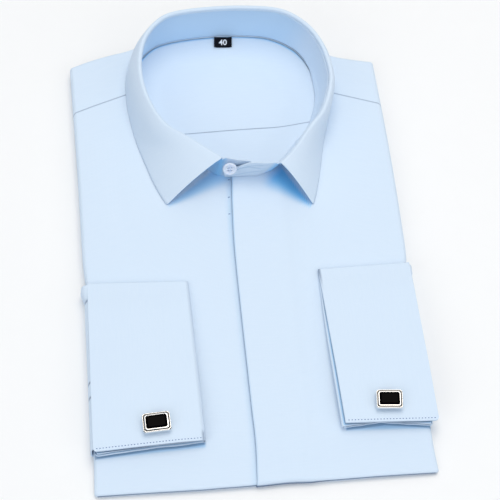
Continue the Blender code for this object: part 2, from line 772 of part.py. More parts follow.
def leaf_edge(t):
    """Free edge of the leaf, resting on the body or hanging behind it."""
    x, y = spline([row[2:4] for row in COLLAR], t)
    i = min(int(t), len(COLLAR) - 2)
    heights = []
    for row in COLLAR[i:i + 2]:
        hung = row[4]
        heights.append(hung if hung is not None else front_top(*row[2:4]) + SEAM + CLOTH / 2 + LEAF_CLEAR)
    resting = COLLAR[i][4] is None and COLLAR[i + 1][4] is None
    if resting:
        return (x, y, front_top(x, y) + SEAM + CLOTH / 2 + LEAF_CLEAR)
    return (x, y, heights[0] + (heights[1] - heights[0]) * (t - i))


def leaf_section(t):
    """Middle line of the leaf at row t: up inside, over the roll and down to the free edge."""
    roll = roll_point(t)
    last = len(COLLAR) - 1
    nx, ny = outward(roll_point(min(t + 0.1, last))[:2], roll_point(max(t - 0.1, 0.0))[:2])
    start_out, drop = CLOTH / 2, ROLL_START / 2
    line = [(start_out, -ROLL_START), (start_out, -drop)]
    for degrees in (135, 90, 45, 0):
        angle = math.radians(degrees)
        line.append((start_out + ROLL_RADIUS * (1 + math.cos(angle)), ROLL_RADIUS * math.sin(angle) - drop))
    points = [(roll[0] + nx * out, roll[1] + ny * out, roll[2] + z) for out, z in line]
    shoulder, edge = points[-1], leaf_edge(t)
    for k in range(1, LEAF_ROWS + 1):
        f = k / LEAF_ROWS
        bulge = LEAF_BULGE * math.sin(math.pi * f)
        x, y, z = lerp(shoulder, edge, f)
        points.append((x + nx * bulge, y + ny * bulge, z + 0.6 * bulge))
    return points


def collar_leaf():
    sections = [leaf_section((len(COLLAR) - 1) * i / LEAF_STEPS) for i in range(LEAF_STEPS + 1)]
    return cloth_piece("collar_leaf", sections, CLOTH)


def collar_button():
    """A dished disc on a short thread shank, tilted back a little."""
    rim, half = BUTTON_DIAMETER / 2, BUTTON_THICKNESS / 2
    shank = SHANK_DIAMETER / 2
    profile = [  # radius, height along the axis
        (0.0, -half - SHANK_LENGTH), (shank, -half - SHANK_LENGTH), (shank, -half),
        (rim - 0.9, -half), (rim - 0.2, -half + 0.5), (rim, -half + 1.0), (rim - 0.3, half - 0.3),
        (rim - 1.0, half), (rim - 1.7, half - 0.2), (rim - 2.3, half - 0.7), (0.0, half - 0.7),
    ]
    button = turned("collar_button", profile, 24, "button")
    axis = Vector((0.0, -math.cos(BUTTON_TILT), math.sin(BUTTON_TILT)))
    place(button, Vector(BUTTON_CENTRE), axis.to_track_quat("Z", "Y"))
    return button


def size_label():
    """A woven label on the inner yoke, its top tucked to the neck seam."""
    width, length = LABEL_SIZE
    grid = []
    for j in range(5):
        line = []
        for i in range(7):
            u, v = width * (i / 6 - 0.5), length * (j / 4 - 0.5)
            x = LABEL_CENTRE[0] + u * math.cos(LABEL_TURN) - v * math.sin(LABEL_TURN)
            y = LABEL_CENTRE[1] + u * math.sin(LABEL_TURN) + v * math.cos(LABEL_TURN)
            z = body_height(x, y) - neck_dip(x, y) + CLOTH / 2 + SEAM + LABEL_WALL / 2
            line.append((x, y, z + LABEL_CURL * (2 * i / 6 - 1) ** 4))
        grid.append(line)
    return cloth_piece("size_label", grid, LABEL_WALL, "label")


# ---------------------------------------------------------------- turned and stacked shapes

def turned(name, profile, sides, finish):
    """A shape turned about Z from a profile of (radius, z), which starts and ends on the axis."""
    verts, faces = [(0.0, 0.0, profile[0][1])], []
    for radius, z in profile[1:-1]:
        for k in range(sides):
            angle = 2 * math.pi * k / sides
            verts.append((radius * math.cos(angle), radius * math.sin(angle), z))
    verts.append((0.0, 0.0, profile[-1][1]))
    for k in range(sides):
        m = (k + 1) % sides
        faces.append((0, 1 + m, 1 + k))
        for ring in range(len(profile) - 3):
            a, b = 1 + ring * sides, 1 + (ring + 1) * sides
            faces.append((a + k, a + m, b + m, b + k))
        base = 1 + (len(profile) - 3) * sides
        faces.append((base + k, base + m, len(verts) - 1))
    return add_object(name, verts, faces, finish)


def rounded_rectangle(width, length, radius, steps=3):
    """Counter-clockwise outline of a rectangle with round corners."""
    points = []
    for quarter, (sx, sy) in enumerate(((1, 1), (-1, 1), (-1, -1), (1, -1))):
        cx, cy = sx * (width / 2 - radius), sy * (length / 2 - radius)
        for k in range(steps + 1):
            angle = math.radians(90 * (quarter + k / steps))
            points.append((cx + radius * math.cos(angle), cy + radius * math.sin(angle)))
    return points


def stacked(name, rings, finish):
    """A closed shape through rings of (width, length, corner radius, z), flat at both ends."""
    verts, faces = [], []
    for width, length, radius, z in rings:
        verts += [(x, y, z) for x, y in rounded_rectangle(width, length, radius)]
    count = len(verts) // len(rings)
    for r in range(len(rings) - 1):
        for k in range(count):
            m = (k + 1) % count
            faces.append((r * count + k, r * count + m, (r + 1) * count + m, (r + 1) * count + k))
    faces.append(tuple(range(count))[::-1])
    faces.append(tuple(range((len(rings) - 1) * count, len(rings) * count)))
    return add_object(name, verts, faces, finish)


def place(part, at, rotation):
    """Turns a part about its own origin, then moves it there. at is in millimetres."""
    part.rotation_mode = "QUATERNION"
    part.rotation_quaternion = rotation
    part.location = at * MM


# ---------------------------------------------------------------- cuffs, sleeves and links

def cuff_plan(data, q, p):
    """Plan point at share q from the hand edge to the sleeve, and p from the slit to the fold."""
    slit = lerp(data["hand_slit"], data["sleeve_slit"], q)
    return lerp(slit, lerp(data["hand_top"], data["sleeve_top"], q), p)


def cuff_foot(data, q, p):
    """Lower wall's middle height above the front it lies on."""
    x, y = cuff_plan(data, q, p)
    inner = FLAT_X - 2.0
    x = max(-inner, min(inner, x))
    lift = CUFF_LIFT_FOLD + (CUFF_LIFT_SLIT - CUFF_LIFT_FOLD) * smooth_step(1.15 - 1.3 * p)
    return body_height(x, max(y, 12.0)) + CLOTH / 2 + lift + PLY / 2 + PLY_OFFSET


WALL_GAP = 2 * PLY_OFFSET + PLY + TUBE_GAP      # between the middles of the cuff's two walls


def cuff_section(data, q, offset):
    """Across the flattened cuff at q: lower wall from the slit, round the fold, upper wall to the slit."""
    length = math.dist(cuff_plan(data, q, 0.0), cuff_plan(data, q, 1.0))
    turn = WALL_GAP / 2 + PLY_OFFSET
    straight = 1.0 - turn / length
    show = SLIT_SHOW * (0.25 + 0.75 * (2 * q - 1) ** 2) / length
    points = []
    for k in range(CUFF_STEPS + 1):
        p = -show + (straight + show) * k / CUFF_STEPS
        points.append((*cuff_plan(data, q, p), cuff_foot(data, q, p) - offset))
    centre = cuff_foot(data, q, straight) + WALL_GAP / 2
    for degrees in (-60, -30, 0, 30, 60):
        angle = math.radians(degrees)
        radius = WALL_GAP / 2 + offset
        p = straight + radius * math.cos(angle) / length
        points.append((*cuff_plan(data, q, p), centre + radius * math.sin(angle)))
    for k in range(CUFF_STEPS, -1, -1):
        p = straight * k / CUFF_STEPS
        points.append((*cuff_plan(data, q, p), cuff_foot(data, q, p) + WALL_GAP + offset))
    return points


def cuff(name, data):
    """A doubled tube, slit at the bottom: outer ply to the hand edge, then back inside it."""
    width = math.dist(data["hand_slit"], data["sleeve_slit"])
    stations = []  # q, ply offset
    for k in range(CUFF_COLUMNS):
        stations.append((1.0 - k / CUFF_COLUMNS, PLY_OFFSET))
    for degrees in (90, 45, 0, -45, -90):
        angle = math.radians(degrees)
        stations.append((-PLY_OFFSET * math.cos(angle) / width, PLY_OFFSET * math.sin(angle)))
    for k in range(1, CUFF_COLUMNS + 1):
        stations.append((INNER_END * k / CUFF_COLUMNS, -PLY_OFFSET))
    sections = []
    for number, (q, offset) in enumerate(stations):
        free = q if number < CUFF_COLUMNS else None
        sections.append(cuff_section_free(data, q, offset, free))
    shell = cloth_piece(name, sections, PLY)
    x, y = data["link"]
    hole = turned(name + "_hole_guide", [(0.0, -10.0), (POST_HOLE / 2, -10.0), (POST_HOLE / 2, 12.0),
                                         (0.0, 12.0)], 16, "metal")
    place(hole, Vector((x, y, link_heights(data)["cuff_top"])), Quaternion())
    cut_away(shell, hole)
    return shell


def cuff_section_free(data, q, offset, free):
    """The section at q, its lower half drawn in where the lower turned-back ply ends short."""
    points = cuff_section(data, q, offset)
    if free is None:
        return points
    short = cuff_section(data, q * data["lower_free"], offset)
    count = len(points) - 1
    return [lerp(a, b, smooth_step(1.5 * k / count - 0.25)) for k, (a, b) in enumerate(zip(short, points))]


def sleeve(name, data):
    """The sleeve from inside the cuff, round the side of the body and down to the floor."""
    grid = []
    for k in range(SLEEVE_STEPS + 1):
        p = 0.02 + 0.965 * k / SLEEVE_STEPS
        start = cuff_plan(data, SLEEVE_START, p)
        height = cuff_foot(data, SLEEVE_START, p) + WALL_GAP / 2
        _, (fx, fy) = nearest_on(FLAT, data["side"] * 300.0, start[1])
        reach = EDGE_REACH + CLOTH / 2 + 1.5 * SEAM + SLEEVE_WALL / 2
        centre_z = body_height(fx, fy) - edge_rise(fy)
        line = [(start[0], start[1], height)]
        over = abs(start[0]) - abs(fx)
        first = math.degrees(math.asin(max(0.0, min(0.95, over / reach))))
        for step in range(1, 8):
            angle = math.radians(first + (90 - first) * step / 7)
            line.append((fx + data["side"] * reach * math.sin(angle), start[1],
                         centre_z + (height - centre_z) * math.cos(angle) ** 0.9))
        for share in (0.5, 1.0):
            line.append((line[7][0] - data["side"] * 0.5 * share, start[1],
                         centre_z + (SLEEVE_FOOT - centre_z) * share))
        grid.append(line)
    return cloth_piece(name, grid, SLEEVE_WALL)


def link_heights(data):
    """Heights of the cuff's faces and of the link's pieces, where the post goes through."""
    width = math.dist(data["hand_slit"], data["sleeve_slit"])
    length = math.dist(data["hand_slit"], data["hand_top"])
    q = math.dist(data["link"], data["hand_slit"]) / width
    p = (data["link"][1] - lerp(data["hand_slit"], data["sleeve_slit"], q)[1]) / length
    q = abs(data["link"][0] - cuff_plan(data, 0.0, p)[0]) / width
    foot = cuff_foot(data, q, p)
    wall = PLY_OFFSET + PLY / 2
    cuff_top = foot + WALL_GAP + wall
    return {"cuff_bottom": foot - wall, "cuff_top": cuff_top, "plate": cuff_top + LINK_STAND}


def cufflink(side, data):
    heights = link_heights(data)
    x, y = data["link"]
    spin = Quaternion((0, 0, 1), data["turn"])
    width, length = data["link_size"]
    stone_w, stone_l = data["stone"]
    t = LINK_THICKNESS
    rim_w, rim_l = stone_w + 2 * SEAM, stone_l + 2 * SEAM
    frame = stacked("cufflink_" + side + "_frame", [
        (width - 2.4, length - 2.4, LINK_CORNER - 0.2, 0.0), (width - 0.6, length - 0.6, LINK_CORNER, 0.5),
        (width, length, LINK_CORNER, 1.1), (width, length, LINK_CORNER, t - 1.7),
        (width - 0.9, length - 0.9, LINK_CORNER - 0.4, t - 1.1),
        (width - 1.2, length - 1.2, LINK_CORNER - 0.5, t - 1.0),
        (width - 2 * LINK_BEVEL, length - 2 * LINK_BEVEL, LINK_CORNER - 0.8, t),
        (rim_w + 0.8, rim_l + 0.8, 0.8, t), (rim_w, rim_l, 0.7, t - 0.5),
        (rim_w, rim_l, 0.7, t - STONE_DEPTH - SEAM)], "metal")
    place(frame, Vector((x, y, heights["plate"])), spin)
    stone = stacked("cufflink_" + side + "_stone", [
        (stone_w - 0.6, stone_l - 0.6, 0.5, t - STONE_DEPTH), (stone_w, stone_l, 0.6, t - STONE_DEPTH + 0.4),
        (stone_w, stone_l, 0.6, t - 0.5), (stone_w - 2.2, stone_l - 2.2, 0.4, t + STONE_RISE)], "stone")
    place(stone, Vector((x, y, heights["plate"])), spin)
    toggle_z = heights["cuff_bottom"] - TOGGLE_DROP - heights["plate"]
    post = turned("cufflink_" + side + "_post", [
        (0.0, toggle_z), (POST_DIAMETER / 2, toggle_z), (POST_DIAMETER / 2, -1.1), (2.6, -0.8), (2.6, -SEAM),
        (0.0, -SEAM)], 16, "metal")
    place(post, Vector((x, y, heights["plate"])), spin)
    r, half = TOGGLE_DIAMETER / 2, TOGGLE_LENGTH / 2
    toggle = turned("cufflink_" + side + "_toggle_guide", [
        (0.0, -half), (r - 0.5, -half), (r, -half + 0.5), (r, half - 0.5), (r - 0.5, half), (0.0, half)],
        16, "metal")
    axis = Vector((math.cos(data["turn"]), math.sin(data["turn"]), 0.0))
    place(toggle, Vector((x, y, heights["plate"] + toggle_z)), axis.to_track_quat("Z", "Y"))
    toggle.hide_render = True
    toggle.display_type = "WIRE"
    join = post.modifiers.new("toggle", "BOOLEAN")
    join.operation = "UNION"
    join.object = toggle
    return [frame, stone, post]


# ---------------------------------------------------------------- the whole shirt

def centre_footprint(parts):
    """Moves the shirt so that its footprint is centred on the origin."""
    bpy.context.view_layer.update()
    depsgraph = bpy.context.evaluated_depsgraph_get()
    low, high = Vector((1e9, 1e9, 1e9)), Vector((-1e9, -1e9, -1e9))
    for part in parts:
        evaluated = part.evaluated_get(depsgraph)
        for vertex in evaluated.data.vertices:
            point = part.matrix_world @ vertex.co
            low = Vector(map(min, low, point))
            high = Vector(map(max, high, point))
    print("footprint", [round(c / MM, 2) for c in (*low, *high)])
    shift = Vector((-(low.x + high.x) / 2, -(low.y + high.y) / 2, 0.0))
    for part in bpy.data.objects:
        part.location += shift


def main():
    for old in list(bpy.data.objects):
        bpy.data.objects.remove(old, do_unlink=True)
    parts = [folded_layers(), front_right(), front_left(), yoke_outer(), yoke_inner(), back_panel()]
    parts += [collar_stand(), collar_leaf(), collar_button(), size_label()]
    for side, data in CUFFS.items():
        parts += [cuff("cuff_" + side, data), sleeve("sleeve_" + side, data)]
        parts += cufflink(side, data)
    centre_footprint(parts)


main()
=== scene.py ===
import json
import math

import bpy
import numpy as np
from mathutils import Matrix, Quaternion, Vector

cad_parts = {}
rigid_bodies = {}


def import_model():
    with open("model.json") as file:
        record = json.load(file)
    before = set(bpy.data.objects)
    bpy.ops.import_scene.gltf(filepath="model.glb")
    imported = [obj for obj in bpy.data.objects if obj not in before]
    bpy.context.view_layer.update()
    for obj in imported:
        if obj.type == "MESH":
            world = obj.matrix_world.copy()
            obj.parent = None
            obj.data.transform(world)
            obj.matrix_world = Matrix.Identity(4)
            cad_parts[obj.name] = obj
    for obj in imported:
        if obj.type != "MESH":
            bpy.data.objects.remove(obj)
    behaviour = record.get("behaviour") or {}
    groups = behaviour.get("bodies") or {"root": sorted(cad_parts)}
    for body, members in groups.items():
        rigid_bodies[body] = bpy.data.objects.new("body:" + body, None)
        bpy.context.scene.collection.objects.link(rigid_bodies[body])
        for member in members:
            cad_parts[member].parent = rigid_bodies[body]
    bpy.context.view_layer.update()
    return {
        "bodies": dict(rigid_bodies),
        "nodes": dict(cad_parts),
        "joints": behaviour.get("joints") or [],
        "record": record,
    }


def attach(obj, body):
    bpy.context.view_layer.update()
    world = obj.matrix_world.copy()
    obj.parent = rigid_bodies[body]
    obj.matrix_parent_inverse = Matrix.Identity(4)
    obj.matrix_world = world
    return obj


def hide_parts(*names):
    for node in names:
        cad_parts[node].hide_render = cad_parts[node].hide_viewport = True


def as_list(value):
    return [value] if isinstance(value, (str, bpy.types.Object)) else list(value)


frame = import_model()
print("frame loaded")

# Plan sizes are millimetres from the middle of the hem fold; toRow moves them into the row frame.
mm = 0.001
rowShift = (0.725, -189.645, 0.0)


def toRow(points):
    return (np.asarray(points, float) + rowShift) * mm


def smoothStep(t):
    t = np.clip(t, 0.0, 1.0)
    return t * t * (3.0 - 2.0 * t)


def splineAt(rows, t):
    rows = np.asarray(rows, float)
    t = np.atleast_1d(np.asarray(t, float))
    last = len(rows) - 1
    i = np.clip(np.floor(t).astype(int), 0, last - 1)
    f = (t - i)[:, None]
    b, c = rows[i], rows[i + 1]
    a = np.where((i > 0)[:, None], rows[np.maximum(i - 1, 0)], 2 * b - c)
    d = np.where((i + 2 <= last)[:, None], rows[np.minimum(i + 2, last)], 2 * c - b)
    return 0.5 * (2 * b + (c - a) * f + (2 * a - 5 * b + 4 * c - d) * f ** 2
                  + (3 * b - a - 3 * c + d) * f ** 3)


def smoothCurve(rows, steps=12):
    return splineAt(rows, np.linspace(0, len(rows) - 1, (len(rows) - 1) * steps + 1))


def runLengths(points):
    return np.concatenate([[0.0], np.cumsum(np.linalg.norm(np.diff(points, axis=0), axis=1))])


def atLengths(points, lengths):
    run = runLengths(points)
    return np.stack([np.interp(lengths, run, points[:, k]) for k in range(points.shape[1])], axis=1)


def spaced(points, count):
    points = np.asarray(points, float)
    return atLengths(points, np.linspace(0, runLengths(points)[-1], count + 1))


# Short steps over a folded edge at the start of the line, and at its end if asked
def spacedFine(points, count, reach=16.0, fine=12, bothEnds=False):
    points = np.asarray(points, float)
    total = runLengths(points)[-1]
    start = np.linspace(0, reach, fine, endpoint=False)
    last = total - reach if bothEnds else total
    steps = np.concatenate([start, np.linspace(reach, last, count + 1)])
    if bothEnds:
        steps = np.concatenate([steps, total - start[::-1]])
    return atLengths(points, steps)


def coonsGrid(bottom, top, left, right):
    def shares(line):
        run = runLengths(line)
        return run / run[-1]
    u = 0.5 * (shares(bottom) + shares(top))[None, :, None]
    v = 0.5 * (shares(left) + shares(right))[:, None, None]
    corners = (1 - v) * ((1 - u) * bottom[0] + u * bottom[-1]) + v * ((1 - u) * top[0] + u * top[-1])
    return (1 - v) * bottom[None] + v * top[None] + (1 - u) * left[:, None] + u * right[:, None] - corners


# Distance to a closed line, and the nearest point on it, for many points
def nearestOnLoop(loop, points):
    flat = points.reshape(-1, 2)
    a, d = loop, np.roll(loop, -1, axis=0) - loop
    lengths = (d * d).sum(1)
    distance, nearest = np.zeros(len(flat)), np.zeros((len(flat), 2))
    for k in range(0, len(flat), 4000):
        p = flat[k:k + 4000, None]
        t = np.clip(((p - a) * d).sum(2) / lengths, 0, 1)
        q = a + d * t[..., None]
        away = np.linalg.norm(p - q, axis=2)
        best = away.argmin(1)
        rows = np.arange(len(best))
        distance[k:k + 4000], nearest[k:k + 4000] = away[rows, best], q[rows, best]
    return distance.reshape(points.shape[:-1]), nearest.reshape(points.shape)


def insideLoop(loop, points):
    x, y = points[..., 0], points[..., 1]
    inside = np.zeros(x.shape, bool)
    for (ax, ay), (bx, by) in zip(loop, np.roll(loop, -1, axis=0)):
        if ay != by:
            inside ^= ((ay > y) != (by > y)) & (x < ax + (y - ay) * (bx - ax) / (by - ay))
    return inside


def outwardOf(a, b):
    d = np.asarray(b, float) - np.asarray(a, float)
    n = np.stack([d[..., 1], -d[..., 0]], axis=-1)
    return n / np.linalg.norm(n, axis=-1, keepdims=True)


def offsetLoop(loop, distance):
    n1, n2 = outwardOf(np.roll(loop, 1, axis=0), loop), outwardOf(loop, np.roll(loop, -1, axis=0))
    both = n1 + n2
    return loop + both * (distance / (0.5 * (both * both).sum(1)))[:, None]


bodyForm = {
    "hem": [(-115.0, 0.2), (-71.0, -0.9), (-43.0, -1.6), (-28.0, -1.6), (-14.0, -1.7), (0.0, -1.3),
            (14.5, -0.9), (29.0, -1.6), (43.5, -2.2), (72.0, -2.3), (115.6, -2.8)],
    "leftSide": [(-115.0, 0.2), (-114.4, 24.0), (-114.2, 90.0), (-114.4, 150.0), (-115.9, 168.0),
                 (-117.4, 250.0), (-120.2, 346.1)],
    "rightSide": [(115.6, -2.8), (114.2, 24.0), (113.7, 90.0), (113.7, 150.0), (115.3, 168.0), (114.8, 250.0),
                  (112.4, 331.3)],
    "top": [(-120.3, 346.1), (-101.5, 352.3), (-85.9, 356.0), (-73.0, 358.8), (-60.0, 364.8), (-45.0, 375.0),
            (-24.0, 380.4), (0.0, 381.4), (20.0, 379.8), (40.0, 374.0), (56.0, 362.4), (67.0, 349.6),
            (80.1, 340.2), (95.9, 335.0), (112.4, 331.3)],
    "edgeSteps": 60,
    "foldRadius": 4.8,         # cloth taken by a folded edge, per radian of its turn
    "foldReach": 2.6,          # its width in plan
    "foldRise": [(0.0, 1.8), (40.0, 4.8)],     # from the hem, and half its height
    "hemPress": 0.42,          # share by which the hem's fold is narrower in plan
    "wrapAngle": math.radians(124),
    "heights": [(0.0, 5.0), (40.0, 9.6), (80.0, 11.8), (150.0, 13.0), (235.0, 13.8), (310.0, 13.0),
                (372.0, 11.8)],
    "sideDrop": 1.2,
    "chest": (6.0, 232.0, 42.0, 34.0, 4.6),    # x, y, spread x, spread y, rise
    "neckDip": (5.2, 5.0, 30.0),               # depth, start, reach
    "wall": 0.7,
}


# Closed line through four sides, each in the given number of steps, and where each side starts
def loopThrough(sides, steps):
    lines = [spaced(smoothCurve(side) if len(side) > 2 else np.array(side, float), steps)[:-1]
             for side in sides]
    return np.concatenate(lines), [steps * k for k in range(4)]


def finer(loop, corners, steps):
    ends = corners[1:] + [len(loop)]
    return loopThrough([np.concatenate([loop[a:b], loop[[b % len(loop)]]]) for a, b in zip(corners, ends)],
                       steps)


bodyOutline, outlineCorners = loopThrough([bodyForm["hem"], bodyForm["rightSide"], bodyForm["top"][::-1],
                                           bodyForm["leftSide"][::-1]], 16)
flatCoarse = offsetLoop(bodyOutline, -(bodyForm["foldReach"] + 0.3))
wrapLength = bodyForm["foldRadius"] * bodyForm["wrapAngle"]
flatLoop, bodyCorners = finer(flatCoarse, outlineCorners, bodyForm["edgeSteps"])
wrapLoop, _ = finer(offsetLoop(flatCoarse, wrapLength), outlineCorners, bodyForm["edgeSteps"])


# One edge of a loop: 0 hem, 1 side at +X, 2 top, 3 side at -X
def loopEdge(loop, number, backwards=False):
    stop = bodyCorners[number + 1] if number < 3 else len(loop)
    line = np.concatenate([loop[bodyCorners[number]:stop], loop[[stop % len(loop)]]])
    return line[::-1] if backwards else line


def tableValue(table, y):
    value = np.full(np.shape(y), float(table[0][1]))
    for (y0, h0), (y1, h1) in zip(table, table[1:]):
        value = np.where(y > y0, h0 + (h1 - h0) * smoothStep((y - y0) / (y1 - y0)), value)
    return value


# Middle of the top cloth of the folded body
def bodyHeight(x, y):
    cx, cy, sx, sy, rise = bodyForm["chest"]
    hill = np.exp(-0.5 * (((x - cx) / sx) ** 2 + ((y - cy) / sy) ** 2))
    return tableValue(bodyForm["heights"], y) - bodyForm["sideDrop"] * (x / 115.0) ** 4 + rise * hill


def foldRise(y):
    return tableValue(bodyForm["foldRise"], y)


# Soft troughs and ridges in the top cloth, each along a line that fades at both ends
softFolds = [  # x, y, angle, half length, half width, height
    (-70.0, 262.0, -62.0, 60.0, 13.0, 0.55),
    (-88.0, 214.0, -80.0, 55.0, 10.0, -0.35),
    (-40.0, 176.0, -38.0, 42.0, 9.0, 0.35),
    (-30.0, 110.0, 84.0, 60.0, 10.0, -0.30),
    (-92.0, 320.0, 24.0, 26.0, 8.0, 0.40),
    (84.0, 236.0, 68.0, 58.0, 12.0, 0.50),
    (58.0, 178.0, 46.0, 40.0, 9.0, -0.40),
    (92.0, 180.0, 82.0, 44.0, 9.0, 0.35),
    (22.0, 120.0, 96.0, 70.0, 11.0, 0.30),
    (30.0, 38.0, 78.0, 40.0, 9.0, -0.25),
    (-14.0, 52.0, 92.0, 46.0, 8.0, 0.25),
    (88.0, 312.0, -20.0, 24.0, 8.0, 0.35),
    (50.0, 8.0, 4.0, 45.0, 7.0, -0.25),
    (-66.0, 10.0, -3.0, 40.0, 7.0, -0.25),
]


def foldRelief(x, y, folds=softFolds):
    height = np.zeros(np.shape(x))
    for fx, fy, angle, halfLength, halfWidth, rise in folds:
        c, s = math.cos(math.radians(angle)), math.sin(math.radians(angle))
        along, across = (x - fx) * c + (y - fy) * s, (y - fy) * c - (x - fx) * s
        bend = across + 0.0025 * along * along * (1 if rise > 0 else -1)
        height = height + rise * np.exp(-(along / halfLength) ** 2 - (bend / halfWidth) ** 2)
    return height


# Narrower in plan where the edge faces the hem
def foldShare(directionY):
    return 1.0 - bodyForm["hemPress"] * np.maximum(-directionY, 0.0)


# Plan points onto the body: flat on top, then round the folded edge and under
def ontoBody(grid, lift=0.0):
    radius = bodyForm["foldRadius"]
    distance, nearest = nearestOnLoop(flatLoop, grid)
    inside = insideLoop(flatLoop, grid)
    base = np.where(inside[..., None], grid, nearest)
    angle = np.where(inside, 0.0, np.minimum(distance / radius, bodyForm["wrapAngle"]))
    direction = (grid - base) / np.maximum(distance, 1e-6)[..., None]
    out = ((bodyForm["foldReach"] + lift) * foldShare(direction[..., 1]) * np.sin(angle))[..., None]
    top = bodyHeight(base[..., 0], base[..., 1]) + foldRelief(base[..., 0], base[..., 1])
    rise = foldRise(base[..., 1])
    z = top - rise + (rise + lift) * np.cos(angle)
    return withHeight(base + np.where(inside[..., None], 0.0, direction * out), z)


collarForm = {
    "rows": [  # roll x, roll y, free edge x, free edge y
        (-10.6, 234.6, -53.2, 213.8), (-24.1, 246.2, -60.2, 229.6), (-36.5, 256.7, -66.4, 249.2),
        (-49.2, 267.4, -72.0, 270.0), (-58.2, 285.2, -75.8, 291.0), (-63.0, 304.0, -77.7, 311.5),
        (-63.6, 323.0, -76.6, 333.0), (-59.4, 341.2, -70.8, 350.0), (-49.4, 355.1, -57.8, 359.8),
        (-37.0, 361.7, -42.0, 368.3), (-12.0, 363.8, -13.0, 372.4), (17.0, 362.6, 18.5, 371.4),
        (42.4, 357.5, 47.6, 363.4), (58.6, 344.8, 65.2, 349.2), (67.8, 328.8, 74.2, 333.2),
        (72.2, 311.0, 76.8, 315.5), (72.4, 293.0, 75.0, 297.5), (64.8, 270.2, 69.4, 272.5),
        (54.4, 256.7, 65.4, 257.5), (44.1, 242.2, 61.2, 237.5), (36.5, 233.0, 57.0, 219.5),
        (29.8, 226.6, 52.6, 205.0)],
    "lean": [  # row, and how far the neck seam lies from under the roll
        (0.0, -3.4, 0.0), (3.0, -9.7, 1.5), (6.0, -9.7, 1.0), (7.5, -9.7, -0.9), (9.0, -9.7, -1.2),
        (10.0, -9.7, 0.2), (11.0, -9.7, 1.1), (12.2, -8.8, 1.5), (13.2, -6.9, 2.4), (14.4, -6.2, 2.0),
        (15.4, -7.6, 1.8), (17.0, -8.6, 1.5), (19.0, -8.4, 3.2), (21.0, -7.8, 6.0)],
    "leftSeamRow": 5.6,
    "rightSeamRow": 15.3,
    "rollZ": (43.5, 47.0),     # front, back
    "rollRadius": 1.25,
    "rollStart": 3.0,
    "crown": 13.0,             # degrees by which the leaf leaves the roll flatter than its slope
    "settle": 9.0,             # and by which it comes down steeper
    "underBand": [(21.0, 231.6, 19.0, 235.2, 32.0), (12.4, 231.3, 10.6, 234.9, 34.6),
                  (9.4, 231.3, 7.4, 234.8, 39.0), (5.0, 231.5, 2.6, 234.6, 41.4),
                  (-1.5, 232.1, -4.5, 234.3, 43.2)],
    "overBand": [(19.5, 227.0, 13.5, 230.6, 43.2), (10.2, 228.0, 6.0, 231.0, 43.4),
                 (4.5, 228.4, 1.5, 231.2, 40.0), (-0.6, 228.8, -3.0, 231.4, 35.8),
                 (-6.0, 229.6, -6.5, 231.6, 36.4), (-9.0, 230.0, -8.6, 231.7, 34.5),
                 (-10.6, 230.2, -9.6, 231.8, 28.0)],
    "wall": 0.85,
    "standWall": 0.85,
    "standGap": 0.3,
    "seamOpens": [(13.2, 1.3, 0.9), (7.2, 0.8, 0.6)],    # row, spread, and how far the seam gapes
    "pointRound": 1.6,
    "shadeDepth": 0.65,
    "shadeUnder": 14.0,        # how far the stand is shaded under the leaf's front, and beside it
    "shadeBare": 5.0,
    # painted dark shadow line along the leaf's free edge: row, share
    "edgeShadowLine": [  # row, share
        (0.0, 0.85), (5.6, 0.85), (8.0, 0.4), (15.0, 0.4), (17.0, 0.25), (20.3, 0.25), (20.9, 0.85)],
    "standSteps": 200,
    "standRows": 30,
    "standOut": 0.5,
    "standWave": (0.35, 9.0),  # depth, length
    # Where the stand's foot turns in under the leaf: from this row, and how far
    "standTurn": {"row": 13.6, "spread": 1.2, "drop": 0.5, "inward": 1.25, "height": 0.25},
    "creases": [  # on the front: height share, its slope, width, depth
        (0.82, -0.006, 0.030, 0.42), (0.55, 0.012, 0.035, 0.50), (0.36, -0.010, 0.040, 0.40)],
    # share of a painted dark shadow line along the band's creases
    "creaseShadowLine": 0.35,
    "backShade": (0.2, 335.0, 20.0),           # share, from y, spread
    "leafEnd": 0.12,           # rows with closer columns at each point
    "leafRows": 26,
    # painted shade on the leaf's end rims from this column to the free edge
    "endShadeRow": 12,              # the leaf's ends darken from here to the free edge
}
lastRow = len(collarForm["rows"]) - 1


def rollAt(t):
    rows = collarForm["rows"]
    plan = splineAt([r[:2] for r in rows], t)
    front, back = collarForm["rollZ"]
    share = (plan[:, 1] - rows[0][1]) / (rows[10][1] - rows[0][1])
    return np.column_stack([plan, front + (back - front) * smoothStep(share)])


def neckAt(t):
    lean = np.array(collarForm["lean"])
    plan = rollAt(t)[:, :2]
    t = np.atleast_1d(t)
    return plan + np.column_stack([np.interp(t, lean[:, 0], lean[:, k]) for k in (1, 2)])


def neckLine(start, stop, count):
    return neckAt(np.linspace(start, stop, count + 1))


neckLoop = np.concatenate([neckAt(np.arange(0, lastRow + 0.01, 0.25)),
                           np.array([r[2:4] for r in collarForm["overBand"][:4]])])[::-1]


def neckDip(points):
    depth, start, reach = bodyForm["neckDip"]
    distance, _ = nearestOnLoop(neckLoop, points)
    distance = np.where(insideLoop(neckLoop, points), distance, -distance)
    return depth * smoothStep((distance + start) / reach)


def addMesh(name, verts, faces, material, uv=None):
    mesh = bpy.data.meshes.new(name)
    mesh.from_pydata([tuple(v) for v in toRow(verts)], [], [tuple(int(i) for i in f) for f in faces])
    mesh.materials.append(material)
    mesh.shade_smooth()
    if uv is not None:
        layer = mesh.uv_layers.new(name="cloth")
        corner = np.zeros(len(mesh.loops), np.int32)
        mesh.loops.foreach_get("vertex_index", corner)
        layer.data.foreach_set("uv", np.asarray(uv, np.float32)[corner].ravel())
    piece = bpy.data.objects.new(name, mesh)
    bpy.context.collection.objects.link(piece)
    return piece


def deselectAll():
    if bpy.context.object and bpy.context.object.mode != "OBJECT":
        bpy.ops.object.mode_set(mode="OBJECT")
    bpy.ops.object.select_all(action="DESELECT")


